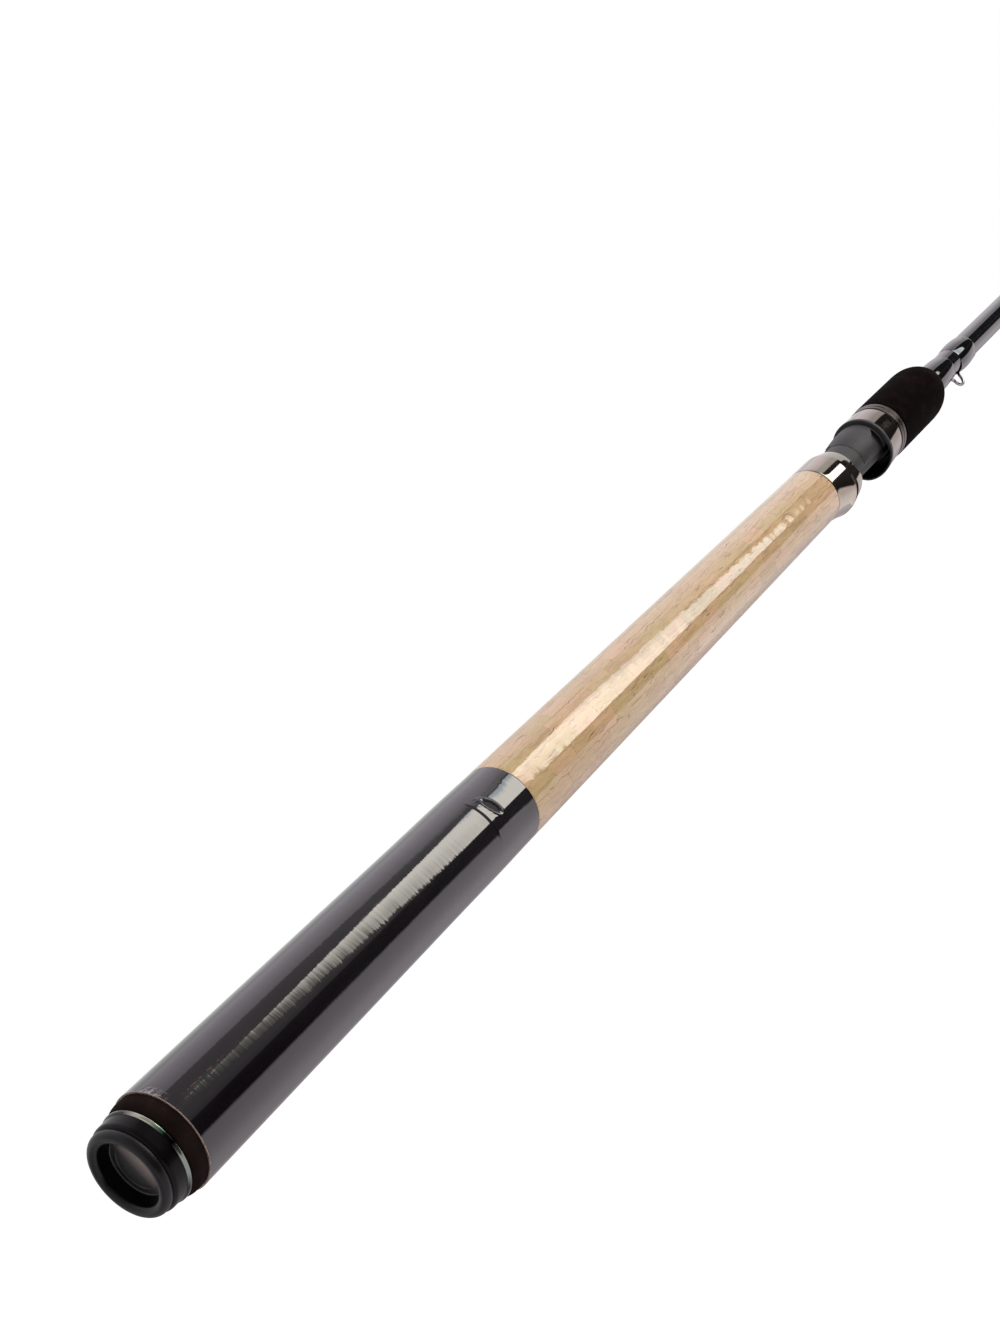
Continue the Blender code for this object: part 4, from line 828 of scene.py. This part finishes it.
def make_fixed_hood():
    rear = FRONT_RADIUS
    roof = HOOD_CROWN - HOOD_WALL
    bore = SEAT_BODY_RADIUS + GLUE_GAP
    base = CORK_END
    length = HOOD_LENGTH - 0.0026
    slant = -HOOD_SLANT - 0.0038
    groove = length - 0.0074
    nose = HOOD_NOSE + 0.0003
    nose_start = 0.68
    nose_share = 1.0 - nose_start
    first_lean = 0.4

    def front(along, sink=0.0):
        share = (along / length - nose_start) / nose_share
        taper = max(0.0, share)
        crown = HOOD_CROWN - 0.0006 * taper ** 2
        return (base + along, mix(rear, nose, taper), crown - sink, mix(first_lean, 1.0, share) * slant)

    corners = [
        (base + GLUE_GAP, rear, rear, 0.0, 0.0006),
        (base + 0.22 * length, rear, mix(rear, HOOD_CROWN, 0.3), 0.0, 0.002),
        (base + 0.45 * length, rear, mix(rear, HOOD_CROWN, 0.68), 0.0, 0.002),
        (*front(groove - 0.0012), 0.0002),
        (*front(groove - 0.0009, 0.0005), 0.0001),
        (*front(groove + 0.0006, 0.0005), 0.0001),
        (*front(groove + 0.0009), 0.0002),
        (*front(length), 0.0003),
        (base + length, bore, roof - 0.0006, slant, 0.0003),
        (base + length - 0.006, bore, roof, 0.5 * slant, 0.0005),
        (base + length - HOOD_POCKET, bore, mix(rear, HOOD_CROWN, 0.68) - 2.0 * HOOD_WALL, 0.0, 0.0004),
        (base + length - HOOD_POCKET, bore, bore, 0.0),
        (base + GLUE_GAP, bore, bore, 0.0),
    ]

    def dark(face):
        """Faces painted with shade: those facing the axis, and the bottom of the groove behind the mouth.
        """
        if faces_axis(face):
            return True
        crowned = window(reel_angle(face), SWELL_FLAT, SWELL_END)
        tilt = slant * slant_share(face)
        growth = (1.0 - first_lean) / (nose_share * length)
        lean = first_lean - growth * nose_start * length
        along = (face.center.x - world_x(base) - tilt * lean) / (1.0 + tilt * growth)
        return crowned > 0.12 and -0.0011 < along - groove < 0.0008

    stand_for(hood_mesh(corners), "fixed_hood", areas=(("painted_shade", dark),))


def make_moving_hood():
    crown = HOOD_CROWN - GLUE_GAP
    length = MOVING_LENGTH
    inside = SLIDE_RADIUS + GLUE_GAP
    base = MOVING_START
    slant = -MOVING_SLANT
    wall_end = base + length - 0.0012

    def outer(along, spread, rise, lean, rounding):
        return (base + along * length, mix(MOVING_MOUTH + 0.001, MOVING_FRONT + 0.0003, spread),
                mix(MOVING_FRONT + 0.0003, crown, rise), lean * slant, rounding)

    corners = [
        outer(0.0, 0.0, 1.0, 1.0, 0.0003),
        outer(0.12, 0.12, 0.895, 0.85, 0.0),
        outer(0.28, 0.3, 0.76, 0.6, 0.0015),
        outer(0.6, 0.62, 0.44, 0.0, 0.0015),
        outer(1.0, 1.0, 0.05, 0.0, 0.0003),
        (base + length, inside, inside, 0.0),
        (wall_end, inside, inside, 0.0),
        (wall_end - GLUE_GAP, inside, mix(MOVING_FRONT, crown, 0.3) - HOOD_WALL, 0.0, 0.0002),
        (base + 0.28 * length, inside, mix(MOVING_FRONT, crown, 0.76) - HOOD_WALL, 0.6 * slant, 0.001),
        (base, inside, crown - HOOD_WALL, slant, 0.0003),
    ]

    # Painted shade on the faces towards the axis and on the rear-facing rim
    def dark(face):
        return faces_axis(face) or face.normal.x < -0.12

    def satin(face):
        width = 0.0016
        mouth = world_x(base) + slant * slant_share(face)
        return not faces_axis(face) and face.center.x < mouth + width

    # The hood takes the darker copy of the chrome, which paints shade
    stand_for(hood_mesh(corners), "moving_hood", finish="shaded_chrome",
              areas=(("painted_shade", dark), ("seat_plastic", satin)))


def shadow_line(x):
    """Height of the slanted edge where the shroud ends on the reel side."""
    height_at_bend = -0.0032
    slope = 0.61 if x > EDGE_BEND else 0.25
    return height_at_bend + slope * (x - EDGE_BEND)


def prism(outline, half):
    """An outline of x and z, as thick as twice half along Y."""
    rings = [[Vector((x, side * half, z)) for x, z in outline] for side in (-1.0, 1.0)]
    return skinned(rings, closed=False)


def make_hood_slide():
    start = MOVING_START - SHROUD_REACH
    bore = SEAT_BODY_RADIUS + SLIDE_GAP
    end = MOVING_START - GLUE_GAP
    corners = [(start, SEAT_BODY_RADIUS + 0.00004), (start, SEAT_BODY_RADIUS + 0.00012, 0.00002)]
    corners += [(start + 0.0045, mix(SHROUD_NOSE, SHROUD_RADIUS, 0.38), 0.003)]
    corners += [(start + 0.011, SHROUD_RADIUS, 0.004), (end, SHROUD_RADIUS, 0.0003)]
    corners += [(end, SLIDE_RADIUS), (MOVING_END, SLIDE_RADIUS, 0.0001), (MOVING_END, bore, 0.0001)]
    corners += [(start + 0.005, bore)]
    mesh = turned(corners, 128)
    low_x = world_x(start)
    before_x = low_x - 0.001
    opening = block((before_x, -FAR, -FAR), (world_x(MOVING_END) - 0.002, FAR, -0.0052))
    mesh = combine(mesh, opening, "DIFFERENCE")
    edge = [(x, shadow_line(x)) for x in (before_x, EDGE_BEND, EDGE_END)]
    edge += [(EDGE_END, -FAR), (before_x, -FAR)]
    mesh = combine(mesh, prism(edge, FAR), "DIFFERENCE")
    half = KEYWAY_WIDTH / 2.0 - SLIDE_GAP
    key_low = (low_x + 0.001, -half, SEAT_BODY_RADIUS - KEYWAY_DEPTH + SLIDE_GAP)
    key = block(key_low, (low_x + SHROUD_REACH, half, bore + 0.0003))

    # Painted shade on the faces that do not look outwards, up to 6 mm above the axis
    def dark(face):
        return outwardness(face) < 0.5 and face.center.z < 0.006

    stand_for(combine(mesh, key, "UNION"), "hood_slide", areas=(("painted_shade", dark),))


def thread_radius(station, angle):
    """A rounded thread that fades away at the seat's end."""
    pitch = 0.002
    depth = 0.0005
    fading = 0.0015
    phase = ((station - THREAD_START) / pitch - angle / (2.0 * math.pi)) % 1.0
    rise = smooth(1.6 * (1.0 - abs(2.0 * phase - 1.0)) - 0.3)
    fade = smooth((SEAT_END - station) / fading)
    return mix(SEAT_THREAD_RADIUS - depth, SEAT_THREAD_RADIUS, rise * fade)


def make_seat_body():
    corners = [(SEAT_START, SEAT_BORE_RADIUS), (SEAT_START, SEAT_BODY_RADIUS, 0.0002)]
    neck = SEAT_THREAD_RADIUS - 0.0004
    corners += [(THREAD_START, SEAT_BODY_RADIUS, 0.0002), (THREAD_START, neck)]
    corners += [(THREAD_START + 0.001, neck), (THREAD_START + 0.001, SEAT_BORE_RADIUS)]
    rear = turned(corners, 128)
    low_x = world_x(SEAT_START)
    thread_x = world_x(THREAD_START)
    pad_low = world_x(HOOD_END + SADDLE_PAD_MARGIN)
    pad_high = world_x(MOVING_START - SADDLE_PAD_MARGIN)
    flat = -SEAT_SADDLE_DEPTH + SADDLE_PAD_RISE
    for low, high, top in (
            (low_x - 0.001, thread_x, -SEAT_SADDLE_DEPTH),
            (low_x - 0.001, pad_low, flat),
            (pad_high, thread_x, flat)):
        rear = combine(rear, block((low, -FAR, -FAR), (high, FAR, top)), "DIFFERENCE")
    sides = 96
    ring_distance = 0.00025
    steps = int(SEAT_THREAD_LENGTH / ring_distance)
    start = THREAD_START + 0.0005
    rings = []
    for station in spaced(start, SEAT_END, steps):
        rings.append([rim_point(station, thread_radius(station, angle), angle) for angle in angles(sides)])
    rings += [circle(station, SEAT_BORE_RADIUS, sides) for station in (SEAT_END, start)]
    mesh = combine(rear, skinned(rings), "UNION")
    half = KEYWAY_WIDTH / 2.0
    keyway = block((low_x + HOOD_LENGTH, -half, SEAT_BODY_RADIUS - KEYWAY_DEPTH),
                   (world_x(SEAT_END) + 0.001, half, FAR))

    # Painted shade on the seat body below the shroud's slanted edge, between the hoods
    def dark(face):
        return face.center.z < shadow_line(face.center.x) + 0.0003 and -0.0125 < face.center.x < 0.0115

    stand_for(combine(mesh, keyway, "DIFFERENCE"), "seat_body", areas=(("painted_shade", dark),))


def make_foregrip():
    nut_bore = SEAT_THREAD_RADIUS + SLIDE_GAP
    end = NUT_START + NUT_LENGTH
    corners = [(NUT_START, nut_bore), (NUT_START, NUT_RADIUS, 0.0002), (end, NUT_RADIUS, 0.0002)]
    corners += [(end, nut_bore)]
    stand_for(turned(corners, 96), "foregrip_nut")

    ring_bore = NUT_RADIUS + GLUE_GAP
    middle = NUT_START + 0.5 * TRIM_LENGTH
    floor = TRIM_RADIUS - 0.00015
    corners = [(NUT_START, ring_bore), (NUT_START, MOVING_FRONT, 0.0001)]
    corners += [(NUT_START + 0.0003, TRIM_RADIUS, 0.0003), (middle - 0.0004, TRIM_RADIUS, 0.0001)]
    corners += [(middle - 0.00015, floor, 0.00012), (middle + 0.00015, floor, 0.00012)]
    corners += [(middle + 0.0004, TRIM_RADIUS, 0.0001)]
    corners += [(TRIM_END, TRIM_RADIUS, 0.0004), (TRIM_END, ring_bore)]
    stand_for(turned(corners, 128), "trim_ring", finish="dark_trim")

    face_end = GRIP_END - 0.0056
    reach = GRIP_NOSE_LENGTH - 0.003
    nose = face_end - reach
    drop = GRIP_RADIUS - GRIP_NOSE_RADIUS
    neck = GRIP_END - 0.016
    corners = [(GRIP_START, ring_bore), (GRIP_START, GRIP_RADIUS, 0.0005)]
    corners += [(nose - 0.01, GRIP_RADIUS)]
    for share in spaced(0.0, 1.0, 26):
        corners.append((nose + share * reach, GRIP_RADIUS - drop * share ** 2.6))
    mouth = 0.0069
    corners += [(face_end, mouth, 0.0003), (neck, mouth), (neck, nut_bore)]
    corners += [(end + GLUE_GAP, nut_bore), (end + GLUE_GAP, ring_bore)]
    stand_for(turned(corners, 128), "foregrip")


def whip_mesh(start, end, radius_at, foot, lift, wall, sides=64, crown=0.4):
    """Lacquered whipping: a smooth crowned swelling over the thread."""
    flat = math.radians(20.0)
    blend = math.radians(80.0)
    length = end - start
    rings = []
    for turn in spaced(0.0, math.pi, 30):
        place = 0.5 - 0.5 * math.cos(turn)
        station = start + length * place
        share = max(0.0, math.sin(math.pi * place)) ** crown
        radius = radius_at(station) + mix(0.00004, GLUE_GAP + wall, share)
        rings.append(bulged(station, radius, lift * (0.6 + 0.4 * share), sides, flat, blend))
    for station in (end, start):
        rings.append(bulged(station, radius_at(station) + 0.00002, foot, sides, flat, blend))
    return skinned(rings)


def keeper_flats(share):
    foot = max(smooth((0.2 - share) / 0.06), smooth((share - 0.8) / 0.06))
    return mix(1.0, 0.4, foot), mix(1.0, 1.3, foot)


def make_hook_keeper():
    wire = 0.00068
    foot_half = 0.00018
    middle = 0.5 * (KEEPER_REAR[1] + KEEPER_FRONT[0])
    span = 0.00425
    outer = span + 0.009

    def foot(low, high):
        points = []
        for along in spaced(low, high, 10):
            points.append((along, 0.0, -(butt_radius(middle + along) + GLUE_GAP + foot_half)))
        return points

    lift = butt_radius(middle) + GLUE_GAP + wire
    loop = []
    for angle in spaced(0.03 * math.pi, 0.97 * math.pi, 40):
        loop.append((-(span - 0.0009) * math.cos(angle), 0.0, -lift - 0.0042 * math.sin(angle) ** 0.8))
    path = from_station(middle, foot(-outer, -span) + loop + foot(span, outer))
    stand_for(wire_mesh(path, wire, 16, keeper_flats), "hook_keeper", sharp=60.0)
    channel = 2.0 * foot_half + GLUE_GAP
    for node, (start, end) in (("keeper_whip_rear", KEEPER_REAR), ("keeper_whip_front", KEEPER_FRONT)):
        mesh = whip_mesh(start, end, butt_radius, channel, 0.8 * channel, 0.0005, crown=0.75)
        stand_for(mesh, node)


def make_blanks():
    rear_bore = 0.0053
    front_bore = 0.0027
    corners = [(BLANK_START, rear_bore), (BLANK_START, BUTT_REAR_RADIUS)]
    corners += [(BUTT_END, BUTT_FRONT_RADIUS, 0.0002), (BUTT_END, front_bore)]
    stand_for(turned(corners, 64), "butt_blank")

    bore = butt_radius(TIP_START) + SLIDE_GAP
    end_bore = butt_radius(BUTT_END) + SLIDE_GAP
    socket_end = BUTT_END + 2.0 * SLIDE_GAP
    plug = QUIVER_REAR_RADIUS + SLIDE_GAP
    corners = [(TIP_START, bore), (TIP_START, socket_radius(), 0.0002)]
    corners += [(BUTT_END, socket_radius()), (TIP_END, TIP_FRONT_RADIUS, 0.0001)]
    corners += [(TIP_END, plug), (QUIVER_START - SLIDE_GAP, plug)]
    core = tip_radius(socket_end) - SOCKET_WALL - SLIDE_GAP - 0.0009
    corners += [(socket_end + SLIDE_GAP, core), (socket_end, end_bore)]
    stand_for(turned(corners, 64), "tip_blank")

    corners = [(QUIVER_START, 0.0), (QUIVER_START, QUIVER_REAR_RADIUS, 0.0003)]
    corners += [(TIP_END, QUIVER_REAR_RADIUS), (QUIVER_END, QUIVER_FRONT_RADIUS, 0.0001)]
    corners += [(QUIVER_END, 0.0)]
    stand_for(turned(corners, 40, closed=False), "quiver_tip")


def ring_corners(station, bore, wall, width):
    half = 0.5 * width
    outer = bore + wall
    middle = bore + 0.45 * wall
    return [(station - half, middle, 0.0004), (station, bore, 0.0008), (station + half, middle, 0.0004),
            (station + 0.7 * half, outer, 0.0002), (station - 0.7 * half, outer, 0.0002)]


def band_corners(station, inner, wall, width):
    half = 0.5 * width
    round_off = 0.3 * wall
    return [(station - half, inner, round_off), (station - half, inner + wall, round_off),
            (station + half, inner + wall, round_off), (station + half, inner, round_off)]


def make_guide(index, station, bore, standoff, radius_at):
    ring_wall = 0.0013
    wire = 0.00055
    foot_length = 0.011
    outer = bore + ring_wall
    centre_z = -(radius_at(station) + standoff + outer)
    mesh = turned(ring_corners(station, bore, ring_wall, 0.0022), 72, centre_z=centre_z)
    stand_for(mesh, f"guide_{index}_ring")

    band_inner = outer + GLUE_GAP
    mesh = turned(band_corners(station, band_inner, 0.0008, 0.0015), 72, centre_z=centre_z)
    reach = 0.55 * (standoff + bore)
    front_reach = 1.15 * reach

    def foot_z(along):
        return -(radius_at(station + along) + GLUE_GAP + wire)

    grip = band_inner + wire
    low_z = foot_z(-reach)
    path = [(-reach - foot_length, 0.0, foot_z(-reach - foot_length))]
    path += [(-reach - 0.5 * foot_length, 0.0, low_z), (-reach - 0.0016, 0.0, low_z)]
    path += [(-reach, 0.0, low_z - 0.0006), (-0.5 * reach, 0.0, 0.5 * (low_z - 0.0004 + centre_z + grip))]
    path += [(0.0, 0.0, centre_z + grip)]
    mesh = with_wire(mesh, curve_through(from_station(station, path), 6), wire)
    spread = math.radians(52.0)
    front_z = foot_z(front_reach)
    for side in (-1.0, 1.0):
        hold = Vector((0.0, side * grip * math.sin(spread), centre_z + grip * math.cos(spread)))
        root = Vector((front_reach + wire * (1.6 + 0.5 * side), 0.3 * side * wire, front_z - 0.2 * wire))
        bow = root.lerp(hold, 0.5) + Vector((0.0, side * 0.06 * grip, 0.0))
        mesh = with_wire(mesh, curve_through(from_station(station, (root, bow, hold)), 8), wire)
    front = front_reach + foot_length
    foot = [(front_reach - 0.0004, 0.0, front_z), (front, 0.0, foot_z(front))]
    mesh = with_wire(mesh, from_station(station, foot), wire)
    stand_for(mesh, f"guide_{index}_frame", sharp=50.0)

    height = 2.0 * wire + GLUE_GAP
    for end_name, low, high in (
            ("rear", -reach - foot_length - 0.003, -reach - 0.0014),
            ("front", front_reach + 0.0024, front + 0.003)):
        node = f"guide_{index}_whip_{end_name}"
        stand_for(whip_mesh(station + low, station + high, radius_at, height, height, 0.0005), node)


def make_guides():
    """Line guides at their shares of the butt section's and the tip section's free lengths."""
    butt = (KEEPER_FRONT[1], TIP_START, butt_radius)
    tip = (TIP_START + 0.031, TIP_END - 0.016, tip_radius)
    layout = ((butt, 0.398, 0.01, 0.011), (butt, 0.841, 0.0072, 0.008), (tip, 0.145, 0.0054, 0.006),
              (tip, 0.463, 0.0042, 0.0046), (tip, 0.751, 0.0034, 0.0036))
    for index, ((low, high, radius_at), share, bore, standoff) in enumerate(layout, 1):
        make_guide(index, mix(low, high, share), bore, standoff, radius_at)
    for node, start, length, radius_at, wall in (
            ("ferrule_whip", TIP_START - 0.013, 0.012, butt_radius, 0.0005),
            ("socket_whip", TIP_START + 0.001, 0.03, tip_radius, 0.0005),
            ("tip_end_whip", TIP_END - 0.016, 0.015, tip_radius, 0.0003)):
        stand_for(whip_mesh(start, start + length, radius_at, 0.0, 0.0, wall), node)


def make_quiver_guides():
    """Small guides, each a loop of wire whose leg runs into a foot under one whipping."""
    wire = 0.00032
    reach = 0.003
    foot_end = reach + 0.007
    layout = ((0.185, 0.0021), (0.38, 0.0019), (0.552, 0.0017), (0.705, 0.0015), (0.841, 0.0014))
    for index, (share, bore) in enumerate(layout, 1):
        station = mix(TIP_END, TOP_TUBE_START, share)
        loop = bore + wire
        blank = quiver_radius(station)
        centre_z = -(blank + 0.0014 + loop + wire)
        corners = [(station + wire * math.cos(angle), loop + wire * math.sin(angle))
                   for angle in angles(12)]
        mesh = turned(corners, 56, centre_z=centre_z)
        foot_z = -(blank + GLUE_GAP + wire)
        path = [(0.0, 0.0, centre_z + loop), (reach - 2.5 * wire, 0.0, foot_z - wire)]
        path += [(reach + wire, 0.0, foot_z), (foot_end, 0.0, foot_z)]
        mesh = with_wire(mesh, curve_through(from_station(station, path), 6), wire, 12)
        stand_for(mesh, f"quiver_guide_{index}", sharp=50.0)
        node = f"quiver_whip_{index}"
        height = 2.0 * wire + GLUE_GAP
        low = station + reach + 0.0008
        high = station + foot_end + 0.0015
        stand_for(whip_mesh(low, high, quiver_radius, height, height, 0.0003, 40), node)


def make_tip_top():
    wire = 0.00032
    ring_bore = 0.0013
    ring_wall = 0.0008
    band_wall = 0.0005
    bore = quiver_radius(TOP_TUBE_START) + GLUE_GAP
    outer = bore + 0.0003
    end = QUIVER_END + 0.0008
    corners = [(QUIVER_END + GLUE_GAP, 0.0), (QUIVER_END + GLUE_GAP, bore)]
    corners += [(TOP_TUBE_START, bore), (TOP_TUBE_START, outer, 0.0001)]
    corners += [(end, outer, 0.0004), (end, 0.0)]
    mesh = turned(corners, 40, closed=False)
    band = ring_bore + ring_wall + GLUE_GAP
    station = QUIVER_END + 0.0035
    centre_z = -(band + 0.0008)
    ring = turned(band_corners(station, band, band_wall, 0.0008), 56, centre_z=centre_z)
    mesh = combine(mesh, ring, "UNION")
    neck = [Vector((world_x(end) - 0.0004, 0.0, 0.0)),
            Vector((world_x(station), 0.0, centre_z + band + 0.5 * band_wall))]
    stand_for(with_wire(mesh, neck, wire, 12), "tip_top_tube", sharp=50.0)
    mesh = turned(ring_corners(station, ring_bore, ring_wall, 0.001), 56, centre_z=centre_z)
    stand_for(mesh, "tip_top_ring")


def dress_kept_nodes():
    """Inner solids that keep their own shape get a finish with grain."""
    for node in ("grip_core", "seat_arbor"):
        item = frame["nodes"][node]
        for slot in item.material_slots:
            slot.material = FINISHES[SLOT_OF[node]]


make_butt_cap()
make_butt_collar()
make_black_sleeve()
make_cork()
make_fixed_hood()
make_moving_hood()
make_hood_slide()
make_seat_body()
make_foregrip()
make_hook_keeper()
make_blanks()
make_guides()
make_quiver_guides()
make_tip_top()
dress_kept_nodes()


def glow_material(name, tint, axis, stops):
    """A glow that follows stops of place, strength and perhaps a tint of their own along an axis."""
    material = bpy.data.materials.new(name)
    material.use_nodes = True
    tree = material.node_tree
    tree.nodes.clear()
    low = stops[0][0]
    high = stops[-1][0]
    peak = max(stop[1] for stop in stops)
    shades = []
    for where, strength, *own in stops:
        shade = [strength / peak * channel for channel in (own[0] if own else tint)]
        shades.append(((where - low) / (high - low), shade))
    place = add_node(tree, "ShaderNodeTexCoord").outputs["Object"]
    parts = add_node(tree, "ShaderNodeSeparateXYZ", {"Vector": place}).outputs
    inputs = {"Value": parts[axis], "From Min": low, "From Max": high}
    colour = add_ramp(tree, add_node(tree, "ShaderNodeMapRange", inputs).outputs[0], shades)
    light = add_node(tree, "ShaderNodeEmission", {"Color": colour, "Strength": peak})
    add_node(tree, "ShaderNodeOutputMaterial", {"Surface": light.outputs[0]})
    return material


def panel(name, corners, material):
    """A flat panel of the studio."""
    mesh = bpy.data.meshes.new(name)
    mesh.from_pydata(corners, [], [tuple(range(len(corners)))])
    mesh.materials.append(material)
    item = placed(name, mesh)
    return item


def card(name, corners, tint, axis, stops):
    """A glowing panel that only reflections see."""
    item = panel(name, corners, glow_material(name + "_glow", tint, axis, stops))
    item.visible_camera = False
    item.visible_diffuse = False
    item.visible_transmission = False
    item.visible_volume_scatter = False
    item.visible_shadow = False


def upright(y, outline):
    return [(x, y, z) for x, z in outline]


def level(z, low, high):
    """A level rectangle between two corners."""
    return [(low[0], low[1], z), (high[0], low[1], z), (high[0], high[1], z), (low[0], high[1], z)]


def make_cards():
    """Softbox, dark wall, bright ceiling and graded floor, as the glossy surfaces see them."""
    outline = ((0.66, 0.5), (0.78, 0.88), (2.05, 1.64), (2.28, 0.76), (2.74, 0.36), (2.7, -0.26),
               (1.9, -0.52), (1.36, -0.58))
    card("softbox", upright(-1.5, outline), (1.0, 0.955, 0.86), "X",
         ((0.66, 0.4), (0.85, 1.5), (0.95, 4.0), (1.1, 6.4), (1.3, 8.0), (1.6, 7.8),
          (1.8, 4.4, (0.9, 1.0, 1.05)), (2.02, 4.0, (0.92, 1.0, 1.05)), (2.34, 4.6, (0.9, 1.0, 1.05)),
          (2.46, 5.2, (0.95, 1.0, 1.0)), (2.62, 3.8, (1.0, 0.95, 0.85)), (2.74, 1.4, (1.0, 0.9, 0.72))))
    outline = ((-3.0, -1.78), (2.55, -1.78), (2.55, 2.3), (2.9, 3.2), (3.0, 4.0), (-3.0, 4.0))
    card("wall", upright(-1.62, outline), (1.0, 0.93, 0.98), "Z",
         ((-1.78, 0.05), (-0.9, 0.08), (-0.4, 0.26), (0.1, 0.46), (0.6, 0.48), (4.0, 0.58)))
    outline = ((2.5, -1.78), (12.0, -1.78), (12.0, 1.35), (2.5, 1.35))
    card("far_wall", upright(-1.63, outline), (1.0, 0.95, 1.0), "Z",
         ((-1.78, 0.03), (1.0, 0.04), (1.35, 0.08)))
    card("ceiling", level(4.2, (-3.0, -1.9), (12.0, 3.2)), (1.0, 0.92, 1.0), "Y",
         ((-1.9, 1.25), (0.0, 1.5), (2.4, 1.45), (3.2, 1.2)))
    card("ground", level(FLOOR_Z + 0.0005, (-3.0, -1.62), (12.0, 11.0)), (1.0, 0.93, 0.98), "Y",
         ((-1.62, 0.1), (-0.254, 0.03), (-0.246, 1.3), (0.0, 1.3), (0.07, 1.2), (0.13, 0.95),
          (0.28, 0.57), (11.0, 0.45)))
    card("ground_glow", level(FLOOR_Z + 0.001, (0.06, -0.248), (0.3, 0.09)), (1.0, 0.955, 0.98), "X",
         ((0.06, 1.3), (0.12, 1.5), (0.17, 1.85), (0.22, 1.7), (0.3, 1.3)))


def seen_directly(tree, otherwise, strength):
    """One strength for camera, glossy and transmission rays, and another for the rest."""
    path = add_node(tree, "ShaderNodeLightPath").outputs
    either = path["Is Camera Ray"]
    for kind in ("Is Glossy Ray", "Is Transmission Ray"):
        inputs = {0: either, 1: path[kind]}
        either = add_node(tree, "ShaderNodeMath", inputs, operation="MAXIMUM").outputs[0]
    inputs = {"Value": either, "To Min": otherwise, "To Max": strength}
    return add_node(tree, "ShaderNodeMapRange", inputs).outputs[0]


def make_floor_and_lamp():
    material = bpy.data.materials.new("studio_floor")
    material.use_nodes = True
    tree = material.node_tree
    shader = tree.nodes["Principled BSDF"]
    shader.inputs["Base Color"].default_value = opaque(0.8)
    shader.inputs["Roughness"].default_value = 1.0
    shader.inputs["Specular IOR Level"].default_value = 0.0
    shader.inputs["Emission Color"].default_value = opaque(1.0)
    tree.links.new(seen_directly(tree, 0.0, 0.7), shader.inputs["Emission Strength"])
    half = 12.0
    panel("floor", level(FLOOR_Z, (-half, -half), (half, half)), material)

    key = bpy.data.lights.new("key", "AREA")
    key.energy = 24.0
    key.size = 1.4
    key.color = (1.0, 0.97, 0.92)
    lamp = placed("key", key)
    lamp.location = (1.1, -1.6, 1.1)
    lamp.rotation_euler = (-lamp.location).to_track_quat("-Z", "Y").to_euler()
    lamp.visible_glossy = False
    lamp.visible_camera = False


def make_world():
    world = bpy.data.worlds.new("studio")
    world.use_nodes = True
    tree = world.node_tree
    background = tree.nodes["Background"]
    background.inputs["Color"].default_value = opaque(1.0)
    tree.links.new(seen_directly(tree, 0.45, 1.0), background.inputs["Strength"])
    bpy.context.scene.world = world


def make_camera():
    camera = bpy.data.cameras.new("camera")
    camera.sensor_fit = "VERTICAL"
    camera.sensor_height = 36.0
    camera.lens = 54.01
    camera.clip_start = 0.01
    camera.clip_end = 100.0
    item = placed("camera", camera)
    right = Vector((0.50418, -0.52263, -0.68751)).normalized()
    back = Vector((-0.73851, -0.67359, -0.02954))
    back = (back - right * back.dot(right)).normalized()
    up = back.cross(right)
    basis = Matrix((right, up, back)).transposed().to_4x4()
    place = Vector((-0.67042, -0.40633, 0.01223))
    basis.translation = place
    item.matrix_world = basis
    bpy.context.scene.camera = item


make_cards()
make_floor_and_lamp()
make_world()
make_camera()
bpy.context.scene.view_settings.view_transform = "Standard"
